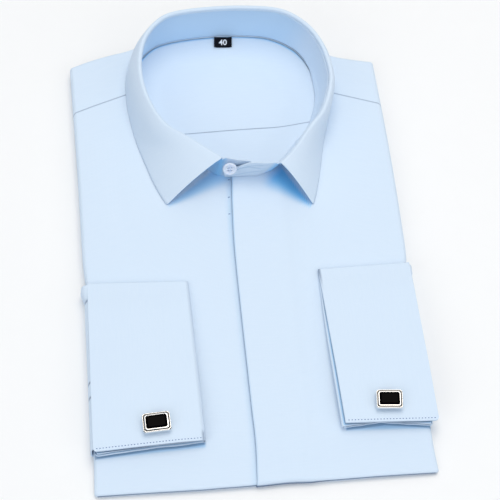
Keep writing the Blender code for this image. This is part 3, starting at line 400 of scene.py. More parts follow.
# Selects these alone, with the first one active
def pickParts(*parts):
    deselectAll()
    for part in parts:
        part.select_set(True)
    bpy.context.view_layer.objects.active = parts[0]


def unit(v):
    return v / np.maximum(np.linalg.norm(v, axis=-1, keepdims=True), 1e-9)


def withHeight(plan, z):
    return np.concatenate([plan, z[..., None]], axis=-1)


def gridFaces(index):
    return np.stack([index[:-1, :-1], index[:-1, 1:], index[1:, 1:], index[1:, :-1]], axis=-1).reshape(-1, 4)


def gridNormals(grid):
    return unit(np.cross(np.gradient(grid, axis=1), np.gradient(grid, axis=0)))


# A closed wall about a grid, with a rounded rim. Its UV map is the cloth's own size in metres.
# The first triple of shares is painted blue shade on the upper side, lower side and rim, where they lie
# between other cloth, and line is a painted dark shadow line on them at a seam or edge.
def addCloth(name, grid, wall, bulge=0.3, paintedShade=None, line=None, material=None):
    rows, columns = grid.shape[:2]
    index = np.arange(rows * columns).reshape(rows, columns)
    normals = gridNormals(grid)
    half = 0.5 * wall * np.ones((rows, columns))
    upper, lower = grid + normals * half[..., None], grid - normals * half[..., None]
    border = [(0, i) for i in range(columns)] + [(j, columns - 1) for j in range(1, rows)]
    border += [(rows - 1, i) for i in range(columns - 2, -1, -1)] + [(j, 0) for j in range(rows - 2, 0, -1)]
    j, i = np.array(border).T
    endwise, sideways = 1.0 * (j == rows - 1) - (j == 0), 1.0 * (i == columns - 1) - (i == 0)
    along, across = (unit(np.gradient(grid, axis=axis))[j, i] for axis in (0, 1))
    out = unit(along * endwise[:, None] + across * sideways[:, None])
    rim = grid[j, i] + out * half[j, i, None] * 2 * bulge
    size, edge = index.size, index[j, i]
    ends = 2 * size + np.arange(len(edge))
    nextEdge, nextEnds = np.roll(edge, -1), np.roll(ends, -1)
    sides = np.stack([edge, ends, nextEnds, nextEdge, ends, edge + size, nextEdge + size, nextEnds], axis=1)
    faces = np.concatenate([gridFaces(index), gridFaces(index)[:, [0, 3, 2, 1]] + size, sides.reshape(-1, 4)])
    verts = np.concatenate([upper.reshape(-1, 3), lower.reshape(-1, 3), rim])
    flat = np.stack(np.meshgrid(runLengths(grid[rows // 2]), runLengths(grid[:, columns // 2])), axis=-1)
    flat = flat.reshape(-1, 2) * mm
    piece = addMesh(name, verts, faces, material or shirtPoplin, np.concatenate([flat, flat, flat[edge]]))
    for kind, shares in (("paintedShade", paintedShade), ("line", line)):
        if shares is not None:
            over, under, atRim = (np.broadcast_to(share, (rows, columns)).ravel() for share in shares)
            layer = piece.data.attributes.new(kind, "FLOAT", "POINT")
            share = np.concatenate([over, under, atRim[edge]])
            layer.data.foreach_set("value", np.clip(share, 0, 1).astype(np.float32))
    return piece


def finishPiece(piece, nodes=()):
    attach(piece, "root")
    if nodes:
        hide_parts(*([nodes] if isinstance(nodes, str) else nodes))
    return piece


def setInputs(node, values):
    for key, value in dict(values).items():
        node.inputs[key].default_value = value


def addNode(tree, kind, values=(), **settings):
    node = tree.nodes.new("ShaderNode" + kind)
    for key, value in settings.items():
        setattr(node, key, value)
    setInputs(node, values)
    return node


# Each link is a node and its output, then a node and its input
def addLinks(tree, *links):
    for start, output, stop, socket in links:
        tree.links.new(start.outputs[output], stop.inputs[socket])


def newMaterial(name, colour, roughness, metallic=0.0, others=()):
    material = bpy.data.materials.new(name)
    material.use_nodes = True
    shader = material.node_tree.nodes["Principled BSDF"]
    setInputs(shader, {"Base Color": (*colour, 1.0), "Roughness": roughness, "Metallic": metallic})
    setInputs(shader, others)
    return material, material.node_tree, shader


def mixNode(tree, a, b):
    return addNode(tree, "Mix", {"A": (*a, 1.0), "B": (*b, 1.0)}, data_type="RGBA")


poplin = {
    "colour": (0.71, 0.825, 0.955),
    "shade": (0.675, 0.80, 0.945),
    # The next two tones are painted shade: a painted blue shade where cloth lies between cloth, and a painted
    # dark shadow line in seams and at edges
    "paintedBlueShade": (0.10, 0.53, 0.95),   # where cloth faces cloth and its blue deepens
    "paintedShadowLine": (0.045, 0.10, 0.22),   # in the narrow gap of a seam or edge
    "roughness": 0.82,
    "surface": {"Specular IOR Level": 0.25, "Sheen Weight": 0.12, "Sheen Roughness": 0.5},
    "yarn": 0.00042,           # spacing of the yarns
    "weaveHeight": 0.00003,
    "weaveStrength": 0.35,
    "slub": {"Scale": 90.0, "Detail": 3.0},
    "slubStretch": (1.0, 9.0, 1.0),
}


def makePoplin():
    material, tree, shader = newMaterial("shirtPoplin", poplin["colour"], poplin["roughness"],
                                         others=poplin["surface"])
    uv = addNode(tree, "UVMap", uv_map="cloth")
    weave = addNode(tree, "Math", operation="MULTIPLY")
    for k, axis in enumerate("XY"):
        wave = addNode(tree, "TexWave", {"Scale": 0.05 / poplin["yarn"], "Distortion": 0.6, "Detail": 1.0},
                       bands_direction=axis, wave_profile="SIN")
        addLinks(tree, (uv, "UV", wave, "Vector"), (wave, "Fac", weave, k))
    slub = addNode(tree, "TexNoise", poplin["slub"])
    stretch = addNode(tree, "Mapping", {"Scale": poplin["slubStretch"]})
    tone = mixNode(tree, poplin["shade"], poplin["colour"])
    addLinks(tree, (uv, "UV", stretch, "Vector"), (stretch, "Vector", slub, "Vector"),
             (slub, "Fac", tone, "Factor"))
    # Painted shade: two attributes on the cloth mix the painted blue shade and the painted dark shadow line
    # into its colour
    for kind, shadeKey in (("paintedShade", "paintedBlueShade"), ("line", "paintedShadowLine")):
        share = addNode(tree, "Attribute", attribute_name=kind)
        paintShade = mixNode(tree, (0, 0, 0), poplin[shadeKey])
        addLinks(tree, (tone, "Result", paintShade, "A"), (share, "Fac", paintShade, "Factor"))
        tone = paintShade
    bump = addNode(tree, "Bump", {"Strength": poplin["weaveStrength"], "Distance": poplin["weaveHeight"]})
    addLinks(tree, (tone, "Result", shader, "Base Color"), (weave, "Value", bump, "Height"),
             (bump, "Normal", shader, "Normal"))
    return material


# Two tones and a fine relief, from one noise in the object's own space
def grainMaterial(name, dark, light, roughness, scale, stretch=(1.0, 1.0, 1.0), height=0.00004):
    material, tree, shader = newMaterial(name, light, roughness)
    place, shape = addNode(tree, "TexCoord"), addNode(tree, "Mapping", {"Scale": stretch})
    grain, tone = addNode(tree, "TexNoise", {"Scale": scale, "Detail": 3.0}), mixNode(tree, dark, light)
    bump = addNode(tree, "Bump", {"Distance": height})
    addLinks(tree, (place, "Object", shape, "Vector"), (shape, "Vector", grain, "Vector"),
             (grain, "Fac", tone, "Factor"), (tone, "Result", shader, "Base Color"),
             (grain, "Fac", bump, "Height"), (bump, "Normal", shader, "Normal"))
    return material


threads = {   # of each kind, its dark and its light tone
    "stitch": ((0.05, 0.12, 0.30), (0.12, 0.24, 0.48)),
    "button": ((0.55, 0.68, 0.92), (0.74, 0.84, 0.97)),
    "numeral": ((0.70, 0.72, 0.76), (0.93, 0.94, 0.96)),
    "roughness": 0.6,
    "grain": 2400.0,
}
shirtPoplin = makePoplin()
stitchThread, buttonThread = (
    grainMaterial(kind + "Thread", *threads[kind], threads["roughness"], threads["grain"])
    for kind in ("stitch", "button"))
print("materials made")


def seamLine(sidePoint, row, shift):
    neck = neckAt(row)[0]
    side = np.array(sidePoint)
    reach = 1.0 + (wrapLength - bodyForm["foldReach"] - 0.3) / abs(side[0] - neck[0])
    line = spacedFine([neck + (side - neck) * reach, neck], 16)
    return line + (0.0, shift)


# The body's side up to a seam's end, and from there on
def sideBelow(number, seamEnd, count):
    line = loopEdge(wrapLoop, number, backwards=(number == 3))
    return spacedFine(np.concatenate([line[line[:, 1] < seamEnd[1] - 1.0], [seamEnd]]), count)


def sideAbove(number, seamEnd):
    line = loopEdge(wrapLoop, number, backwards=(number == 3))
    return np.concatenate([[seamEnd], line[line[:, 1] > seamEnd[1] + 1.0]])


fronts = {
    "leftSeamSide": (-119.0, 301.8),
    "rightSeamSide": (114.6, 290.0),
    "seamGap": 0.3,
    "placketEdge": [(-6.9, 0.4), (-5.2, 18.0), (-5.0, 34.0), (-5.6, 60.0), (-7.0, 163.0), (-6.0, 205.0),
                    (-4.2, 231.6)],
    "placketWall": 1.7,
    "placketLift": 1.9,
    # share of a painted dark shadow line along the placket's edge
    "edgeShadowLine": 0.65,
    "placketWidth": 34.0,
    "underlapX": 24.0,
    "tacks": (229.7, 215.4, 202.0),
    "tackSpan": (-3.3, -1.7, 0.2),             # start and end from the edge, and slant
    "rows": 120,
    "fineRows": (16.0, 40.0, 5),               # from y, to y, and how many for each
}


# Lift of the placket over the other front: pressed thin at the hem
def placketLift(x, y=60.0):
    over = fronts["placketLift"] * (0.62 + 0.38 * smoothStep(np.asarray(y, float) / 24.0))
    return over * (1.0 - smoothStep((x - fronts["underlapX"] - 3.0) / 18.0))


def frontWall(x, y):
    thick, thin = fronts["placketWall"], bodyForm["wall"]
    pressed = 0.45 + 0.55 * smoothStep(np.asarray(y, float) / 24.0)
    return thin + (thick - thin) * pressed * (1.0 - smoothStep((x - fronts["placketWidth"] + 6.0) / 8.0))


# The wearer's left is at +X. outerShow and innerShow say how far each ply comes out at the slit, by share
# of the width, and handShow how far the lower wall comes out at the hand. gapShadowLine is the share of
# painted dark shade between the plies, and handShadowLine the part of it that is left at the hand.
cuffs = {
    "left": {
        "side": 1,
        "handTop": (50.8, 152.2), "handSlit": (56.5, 33.4),
        "sleeveTop": (115.1, 152.6), "sleeveSlit": (118.8, 30.3),
        "link": (86.7, 45.6), "turn": math.radians(-5), "linkSize": (18.0, 13.4), "stone": (13.2, 8.8),
        "outerShow": [(0.0, 1.6), (0.17, 0.6), (0.32, -0.5), (0.42, -1.2), (0.57, -0.4), (0.75, 0.5),
                      (1.0, 1.5)],
        "innerShow": [(0.0, 1.3), (0.17, 0.3), (0.32, -0.8), (0.42, -1.5), (0.57, -0.7), (0.75, 0.2),
                      (1.0, 1.2)],
        "handShow": 2.5,
        "handPress": 0.0,      # share by which the walls come closer at the hand
        "gapShadowLine": 0.65,
        "handShadowLine": 1.0,
        "lowerEnd": 0.93,      # share of the width at which the lower wall ends
    },
    "right": {
        "side": -1,
        "handTop": (-42.8, 150.6), "handSlit": (-39.6, 29.8),
        "sleeveTop": (-112.9, 155.4), "sleeveSlit": (-113.6, 27.9),
        "link": (-70.2, 42.6), "turn": math.radians(3), "linkSize": (19.2, 13.8), "stone": (13.8, 9.0),
        "outerShow": [(0.0, -0.1), (0.25, 0.5), (0.42, 0.2), (0.6, 0.7), (0.8, 1.1), (1.0, 1.6)],
        "innerShow": [(0.0, -0.9), (0.25, -0.4), (0.42, -0.6), (0.6, -0.2), (0.8, 0.2), (1.0, 0.9)],
        "handShow": 0.5,
        "gapShadowLine": 0.75,
        "handShadowLine": 0.25,
        "handPress": 0.35,
        "lowerEnd": 0.985,
    },
}

# Shares of painted blue shade and of painted dark shadow lines on the cloth; seamLine is the painted shadow
# line along seams
paintedShadeForm = {
    "underside": 0.3,
    "leafEdges": [(-1, 1, 1.0, 1.0), (0, -1, 0.6, 0.75)],      # row, side, and shares of the depth and reach
    "leafReach": 15.0,         # below the leaf's front edge
    "leafDepth": 0.85,
    "placketReach": 5.0,
    "placketDepth": 0.30,
    "cuffReach": 2.4,
    "cuffDepth": 0.40,
    "cuffShadowLine": 0.45,
    "hemShadowLine": 0.9,
    "seamLine": 0.42,
}


# Share along a line from a to b, and the distance to its right-hand side
def segmentSide(points, a, b):
    a, b = np.asarray(a, float), np.asarray(b, float)
    d = (b - a) / np.linalg.norm(b - a)
    along = (points - a) @ d / np.linalg.norm(b - a)
    across = (points - a) @ np.array([d[1], -d[0]])
    return along, across


# Share along a cuff's slit, and the distance beyond it on the cuff's side
def besideSlit(points, data):
    along, across = segmentSide(points, data["handSlit"], data["sleeveSlit"])
    return along, across * data["side"]


# Two more rows close to the first or last row of a plan, so that a seam's painted shadow line stays narrow
def closeRows(plan, last=False):
    plan = plan[::-1] if last else plan
    step = plan[1] - plan[0]
    size = np.linalg.norm(step, axis=1, keepdims=True)
    close = [plan[0] + step * np.minimum(at / size, most) for at, most in ((0.4, 0.3), (0.8, 0.6))]
    plan = np.concatenate([plan[:1], close, plan[1:]])
    return plan[::-1] if last else plan


# Shares of a painted shadow line along a seam at the first or last row, in some of its columns
def seamShadowShares(grid, columns, last=False):
    share = np.zeros(grid.shape[:2])
    border, inner = (-1, -2) if last else (0, 1)
    share[border, columns] = paintedShadeForm["seamLine"]
    share[inner, columns] = 0.3 * paintedShadeForm["seamLine"]
    return share


# Share of painted blue shade on the body: below the leaf's fronts, beside the placket's edge and under the
# cuffs
def bodyPaintedShade(grid):
    points = grid[..., :2].reshape(-1, 2)
    form, share = paintedShadeForm, np.zeros(len(points))
    # Along each leaf's front edge, from the band down to its point
    for row, sign, depth, wide in form["leafEdges"]:
        leaf = collarForm["rows"][row]
        along, across = segmentSide(points, leaf[:2], leaf[2:])
        across = across * sign
        reach = form["leafReach"] * (1.0 - 0.75 * np.clip(along, 0, 1)) * wide
        fade = smoothStep(1.0 - across / reach) * smoothStep((across + 0.5 + 9.0 * (1.0 - along)) / 3.0)
        fade = fade * smoothStep((along + 0.35) / 0.3) * smoothStep((1.02 - along) / 0.06)
        share = np.maximum(share, form["leafDepth"] * depth * fade)
    edge = smoothCurve(fronts["placketEdge"])
    left = np.interp(points[:, 1], edge[:, 1], edge[:, 0]) - points[:, 0]
    strength = 0.45 + 0.55 * smoothStep((points[:, 1] - 150.0) / 50.0)
    valleyShade = np.where((left > -0.6) & (left < form["placketReach"]),
                      1 - np.clip(left, 0, None) / form["placketReach"], 0)
    share = np.maximum(share, strength * form["placketDepth"] * valleyShade)
    for data in cuffs.values():
        along, across = besideSlit(points, data)
        near = (across > -12) & (along > 0.0)
        below = near * smoothStep(1.4 - across / form["cuffReach"]) * smoothStep((1.01 - along) / 0.05)
        share = np.maximum(share, form["cuffDepth"] * below)
    return share.reshape(grid.shape[:2])


# Painted dark shadow line along the foot of the hem's fold, and under the lower wall of each cuff
def bodyShadowLine(plan):
    hem = loopEdge(flatLoop, 0)
    angle = (np.interp(plan[..., 0], hem[:, 0], hem[:, 1]) - plan[..., 1]) / bodyForm["foldRadius"]
    share = paintedShadeForm["hemShadowLine"] * smoothStep((angle - 1.0) / 0.35)
    for data in cuffs.values():
        along, across = besideSlit(plan, data)
        across = across - np.interp(along, *zip(*data["outerShow"]))
        near = (across > -12) & (along > 0.0) & (along < 1.02)
        share = np.maximum(share, np.where(near, paintedShadeForm["cuffShadowLine"] * smoothStep((1.0 - across) / 0.8), 0))
    return share


# More rows where the fronts run under the cuffs' slits
def finerRows(plan):
    rows = []
    low, high, steps = fronts["fineRows"]
    for a, b in zip(plan, plan[1:]):
        count = steps if low < a[:, 1].mean() < high else 1
        rows += [a + (b - a) * k / count for k in range(count)]
    return np.array(rows + [plan[-1]])


# Seam, whole upper line and hem of a front; the hem runs from its first or last point to hemX
def frontLines(sidePoint, rows, band, steps, start, hemX):
    seam = seamLine(sidePoint, rows[0], -fronts["seamGap"] / 2)
    neck = neckLine(*rows, 50)
    band = spaced(np.concatenate([neck[-1:], band]), steps)
    top = np.concatenate([seam, neck[1:], band[1:]])
    hem = loopEdge(wrapLoop, 0)
    stop = hem[0] + (hem[-1] - hem[0]) * (hemX - hem[0][0]) / (hem[-1][0] - hem[0][0])
    return seam, top, spacedFine([hem[start], stop], len(top) - 13)


def makeFrontRight():
    band = [r[2:4] for r in collarForm["underBand"][:0:-1]] + [(fronts["underlapX"], 235.4)]
    rows = (collarForm["leftSeamRow"], 0.0)
    seam, top, bottom = frontLines(fronts["leftSeamSide"], rows, band, 14, 0, fronts["underlapX"])
    left = sideBelow(3, top[0], fronts["rows"])
    right = spacedFine([bottom[-1], top[-1]], fronts["rows"])
    plan = finerRows(closeRows(coonsGrid(bottom, top, left, right), last=True))
    grid = ontoBody(plan)
    # Painted shade: dark shadow lines at the seam and along the hem's foot, and blue shade below the leaf and
    # cuffs
    line = np.maximum(seamShadowShares(grid, slice(0, len(seam)), last=True), bodyShadowLine(plan))
    return addCloth("frontRight", grid, bodyForm["wall"], paintedShade=(bodyPaintedShade(grid), paintedShadeForm["underside"], 0.0),
                    line=(line, 0.0, line))


def makeFrontLeft():
    edge = fronts["placketEdge"]
    band = [r[2:4] for r in collarForm["overBand"][:3]] + edge[-1:]
    rows = (collarForm["rightSeamRow"], lastRow)
    seam, top, bottom = frontLines(fronts["rightSeamSide"], rows, band, 26, -1, edge[0][0])
    left = spacedFine(smoothCurve([tuple(bottom[-1])] + edge[1:]), fronts["rows"])
    right = sideBelow(1, top[0], fronts["rows"])
    plan = finerRows(closeRows(coonsGrid(bottom[::-1], top[::-1], left, right), last=True))
    x, y = plan[..., 0], plan[..., 1]
    grid = ontoBody(plan, placketLift(x, y))
    # Painted shade: dark shadow lines at the seam, the hem's foot and the placket's edge, and blue shade
    # below the leaf and cuffs
    line = np.maximum(seamShadowShares(grid, slice(-len(seam), None), last=True), bodyShadowLine(plan))
    under = np.zeros(grid.shape[:2])
    under[:, 0] = fronts["edgeShadowLine"]
    return addCloth("frontLeft", grid, frontWall(x, y), paintedShade=(bodyPaintedShade(grid), paintedShadeForm["underside"], 0.0),
                    line=(line, under, line + under))


def makeYokeOuter():
    gap = fronts["seamGap"] / 2
    left = seamLine(fronts["leftSeamSide"], collarForm["leftSeamRow"], gap)
    right = seamLine(fronts["rightSeamSide"], collarForm["rightSeamRow"], gap)
    neck = neckLine(collarForm["leftSeamRow"], collarForm["rightSeamRow"], 90)
    inner = np.concatenate([left, neck[1:-1], right[::-1]])
    outer = spacedFine(loopEdge(wrapLoop, 2, backwards=True), len(inner) - 25, bothEnds=True)
    shares = np.concatenate([np.linspace(0, 0.6, 16, endpoint=False), np.linspace(0.6, 1.0, 22)])
    sides = []
    for number, end in ((3, inner[0]), (1, inner[-1])):
        line = sideAbove(number, end)
        sides.append(atLengths(line, shares * runLengths(line)[-1]))
    grid = ontoBody(closeRows(coonsGrid(inner, outer, *sides)))
    columns = np.r_[0:len(left), len(inner) - len(right):len(inner)]
    line = seamShadowShares(grid, columns)
    return addCloth("yokeOuter", grid, bodyForm["wall"], line=(line, 0.0, line))


insides = {
    "inset": 0.5,
    "seamY": 278.0,
    "gap": 0.3,
    "leftRows": (2.0, 6.0),    # between which the seam meets the neck
    "rightRows": (19.0, 15.0),
    "topRows": (7.4, 12.9),    # the yoke's upper edge
    "lowRows": (1.4, 20.0),    # the ends of the back's lower edge
}


def insideAt(t):
    t = np.atleast_1d(t)
    out = outwardOf(neckAt(t - 0.05), neckAt(t + 0.05))
    return neckAt(t) + insides["inset"] * out


def rowAt(y, low, high):
    rising = insideAt(high)[0, 1] > insideAt(low)[0, 1]
    for _ in range(30):
        middle = 0.5 * (low + high)
        if (insideAt(middle)[0, 1] < y) == rising:
            low = middle
        else:
            high = middle
    return low


def insideRun(start, stop, count):
    return insideAt(np.linspace(start, stop, count + 1))


# Where the seam inside the neck starts and ends, and its line
def insideSeam(shift, count):
    ends = [rowAt(insides["seamY"] + shift, *insides[key]) for key in ("leftRows", "rightRows")]
    return *ends, spaced([insideAt(end)[0] for end in ends], count)


insideFolds = [  # x, y, angle, half length, half width, height
    (-18.0, 322.0, 62.0, 34.0, 10.0, 0.5),
    (26.0, 318.0, 100.0, 34.0, 10.0, -0.5),
    (4.0, 258.0, 12.0, 26.0, 9.0, 0.4),
]


def insideSurface(plan):
    x, y = plan[..., 0], plan[..., 1]
    return withHeight(plan, bodyHeight(x, y) - neckDip(plan) + foldRelief(x, y, insideFolds))


# Share of painted shade on the cloth close under the stand's foot, towards the back of the neck
def neckPaintedShade(grid):
    distance, _ = nearestOnLoop(neckLoop, grid[..., :2])
    low = 300.0 + 28.0 * smoothStep((grid[..., 0] - 20.0) / 40.0)
    return 0.6 * smoothStep((2.2 - distance) / 1.6) * smoothStep((grid[..., 1] - low) / 20.0)


# Cloth inside the neck, with its seam at the first or last row
def addInside(name, sides, last):
    grid = insideSurface(closeRows(coonsGrid(*sides), last))
    # Painted shade: a dark shadow line at the seam, and shade under the stand's foot
    line = seamShadowShares(grid, slice(None), last)
    return addCloth(name, grid, bodyForm["wall"], 0.15, (neckPaintedShade(grid), paintedShadeForm["underside"], 0.0),
                    (line, 0.0, line))


def makeYokeInner():
    first, last, seam = insideSeam(insides["gap"] / 2, 60)
    start, stop = insides["topRows"]
    sides = (seam, insideRun(start, stop, 60), insideRun(first, start, 40), insideRun(last, stop, 40))
    return addInside("yokeInner", sides, False)


def makeBackPanel():
    first, last, seam = insideSeam(-insides["gap"] / 2, 56)
    start, stop = insides["lowRows"]
    bands = np.array([(r[2], r[3] + insides["inset"] + 0.6) for r in collarForm["underBand"][::-1]])
    front = smoothCurve(np.concatenate([insideRun(start, 0.2, 2), bands, insideAt(stop)]), 6)
    sides = (spaced(front, 56), seam, insideRun(start, first, 26), insideRun(stop, last, 26))
    return addInside("backPanel", sides, True)


frontRight = finishPiece(makeFrontRight(), "front_right")
frontLeft = finishPiece(makeFrontLeft(), "front_left")
yokeOuter = finishPiece(makeYokeOuter(), "yoke_outer")
yokeInner = finishPiece(makeYokeInner(), "yoke_inner")
backPanel = finishPiece(makeBackPanel(), "back_panel")
print("body panels made")


layers = {
    "gap": 1.5,                # below the middle of the top cloth
    "dipShare": 1.25,
    "lowerClear": 0.75,        # below the turned-under cloth
    "clear": (0.9, 1.5),       # inside the fold, in plan and in height
    "arcs": (15, 35, 55, 75, 95, 110),
    "groove": (0.9, 0.75),     # under the fold: its reach, and its share of the height
    "edgeShift": 2.1,
    "wander": (0.22, 0.06),    # how far the lower layers stray, in plan and in height
    "edge": [(3.4, 1.0), (4.0, 0.92), (4.1, 0.84), (3.9, 0.78), (3.0, 0.74), (3.9, 0.70), (4.2, 0.62),
             (4.2, 0.52), (4.0, 0.46), (3.0, 0.42), (4.0, 0.38), (4.2, 0.28), (4.2, 0.16), (3.9, 0.07),
             (2.8, 0.0)],
}


# Directions out of a closed line of points: one for each point, and a fan of them at a corner
def spokesOf(points):
    before = outwardOf(np.roll(points, 1, axis=0), points)
    after = outwardOf(points, np.roll(points, -1, axis=0))
    spokes = []
    for k, (a, b) in enumerate(zip(before, after)):
        start = math.atan2(a[1], a[0])
        turn = (math.atan2(b[1], b[0]) - start + math.pi) % (2 * math.pi) - math.pi
        shares = np.linspace(0, 1, 9) if turn > math.radians(40) else [0.5]
        spokes += [(k, math.cos(start + turn * share), math.sin(start + turn * share)) for share in shares]
    return (np.array(column) for column in zip(*spokes))


# One closed solid: the upper surface, then rings from its rim round the fold and down to the table
def makeLayers():
    hem, right, top, left = (loopEdge(flatLoop, n, backwards=(n > 1)) for n in range(4))
    plan = coonsGrid(hem, top, left, right)
    z = bodyHeight(plan[..., 0], plan[..., 1]) - layers["gap"] - layers["dipShare"] * neckDip(plan)
    index = np.arange(z.size).reshape(z.shape)
    rim = np.concatenate([index[0, :-1], index[:-1, -1], index[-1, :0:-1], index[:0:-1, 0]])
    surface = withHeight(plan, z).reshape(-1, 3)
    spoke, nx, ny = spokesOf(surface[rim, :2])
    x, y = surface[rim[spoke], :2].T
    rise = foldRise(y)
    centre = bodyHeight(x, y) - rise
    low = centre + rise * math.cos(bodyForm["wrapAngle"]) - layers["lowerClear"]
    (inPlan, inHeight), (grooveOut, grooveShare) = layers["clear"], layers["groove"]
    rings = [((bodyForm["foldReach"] - inPlan) * math.sin(arc), centre + (rise - inHeight) * math.cos(arc))
             for arc in np.radians(layers["arcs"])]
    rings.append((grooveOut, centre + grooveShare * (low - centre)))
    for ring, (out, share) in enumerate(layers["edge"], len(rings)):
        wander = np.sin(0.051 * (x + 1.7 * y)) + 0.6 * np.sin(0.13 * (x - y) + ring * 0.4)
        inPlan, inHeight = (amount * wander * (0 < share < 1) for amount in layers["wander"])
        rings.append((out - layers["edgeShift"] + inPlan, low * share + inHeight))
    loops, verts, faces = [rim[spoke]], [surface], gridFaces(index).tolist()
    for out, level in rings:
        out = out * foldShare(ny)
        loops.append(surface.shape[0] + np.arange(len(x)) + len(x) * (len(loops) - 1))
        verts.append(np.column_stack([x + nx * out, y + ny * out, level]))
    for above, below in zip(loops, loops[1:]):
        for quad in zip(above, below, np.roll(below, -1), np.roll(above, -1)):
            faces.append(quad[:3] if quad[0] == quad[3] else quad)
    faces.append(loops[-1])
    verts = np.concatenate(verts)
    return addMesh("foldedLayers", verts, faces, shirtPoplin, verts[:, :2] * mm)


foldedLayers = finishPiece(makeLayers(), "folded_layers")
print("hidden layers made")


# Where the stand's foot rests, on a front and elsewhere
def frontTop(x, y):
    return bodyHeight(x, y) + placketLift(x) + 0.5 * frontWall(x, y) + 0.2


def clothRest(x, y):
    return bodyHeight(x, y) + 0.6


# Stations along a band of the stand: roll x, y and z, neck x and y, foot, top
def bandStations(rows, foot, steps):
    table = splineAt([(*row, foot(row[2], row[3])) for row in rows], np.linspace(0, len(rows) - 1, steps + 1))
    x, y, nx, ny, top, low = table.T
    return np.column_stack([x, y, np.full(len(x), collarForm["rollZ"][0]), nx, ny, low, top])


# Stations from under the leaf out to where a band is bare
def leaving(covered, bare):
    stations = covered + (bare - covered) * np.array([0.06, 0.12, 0.25, 0.5])[:, None]
    stations[:, 6] = covered[6], covered[6] + 0.6, bare[6] - 0.3, bare[6]
    return stations


def makeStand():
    form, turn = collarForm, collarForm["standTurn"]
    t = np.linspace(0, lastRow, form["standSteps"] + 1)
    roll, neck = rollAt(t), neckAt(t)
    low = np.where(t > form["rightSeamRow"], frontTop(*neck.T), clothRest(*neck.T))
    covered = np.column_stack([roll, neck, low, roll[:, 2] - form["rollStart"] - 0.06])
    under, over = bandStations(form["underBand"], clothRest, 24), bandStations(form["overBand"], frontTop, 42)
    bare = under[-1] + (0, 0, 0, 0, 0, form["standGap"], 0)
    before, after = leaving(covered[0], bare)[::-1], leaving(covered[-1], over[0])
    turned = smoothStep((t - turn["row"]) / turn["spread"])
    opens = sum(rise * np.exp(-((t - at) / spread) ** 2) for at, spread, rise in form["seamOpens"])
    covered[:, 5] += opens - turn["drop"] * turned
    stations = np.concatenate([under, before, covered, after, over])
    start = len(under) + len(before)
    stop = start + len(covered)
    roll, neck, top = stations[:, :3], stations[:, 3:5], stations[:, 6]
    foot = stations[:, 5] + form["standGap"]
    run = runLengths(roll[:, :2])
    share = np.linspace(0, 1, form["standRows"] + 1)[:, None]
    z = foot + (top - foot) * share
    plan = neck + (roll[:, :2] - neck) * ((z - foot) / (roll[:, 2] - foot))[..., None]
    onFront = run - run[stop + len(after)]
    bandShare = smoothStep((onFront + 2.0) / 4.0)
    creases = -bandShare * sum(depth * np.exp(-((share - level - slope * onFront) / width) ** 2)
                               for level, slope, width, depth in form["creases"])
    depth, length = form["standWave"]
    wave = depth * np.sin(run / length) * np.sin(math.pi * share) * (1 - bandShare)
    inward = np.zeros(len(run))
    inward[start:stop], inward[stop:stop + len(after)] = turned, (0.9, 0.6, 0.3, 0.1)
    inward = turn["inward"] * inward * (1.0 - smoothStep(share / turn["height"]))
    out = unit(np.column_stack([-np.gradient(roll[:, 1]), np.gradient(roll[:, 0])]))
    grid = withHeight(plan + out * (form["standOut"] - inward + creases + wave)[..., None], z)
    # Painted shade: dark shadow lines along the band's creases, blue shade on the inner face at the back, and
    # blue shade on the outer face under and beside the leaf's fronts
    lines = -form["creaseShadowLine"] * creases
    depth, y, spread = form["backShade"]
    inner = lines + depth * smoothStep((roll[:, 1] - y) / spread)
    fromFront = np.minimum(np.abs(run - run[start]), np.abs(run - run[stop - 1]))
    reach = np.full(len(run), form["shadeBare"])
    reach[start:stop] = form["shadeUnder"]
    outer = np.maximum(inner, form["shadeDepth"] * smoothStep(1.0 - fromFront / reach))
    return addCloth("collarStand", grid, form["standWall"], 0.4, (inner, outer, 0.0), (lines, lines, 0.0))


# Upper face of the front or yoke, as it is made here
def clothTop(x, y):
    onPlacket = (x > -12.0) & (y < 260.0)
    wall = np.where(onPlacket, frontWall(x, y), bodyForm["wall"])
    return bodyHeight(x, y) + foldRelief(x, y) + placketLift(x) * onPlacket + 0.5 * wall


def leafEdgeAt(t):
    plan = splineAt([r[2:4] for r in collarForm["rows"]], t)
    return withHeight(plan, clothTop(plan[:, 0], plan[:, 1]) + 0.5 * collarForm["wall"] + 0.12)


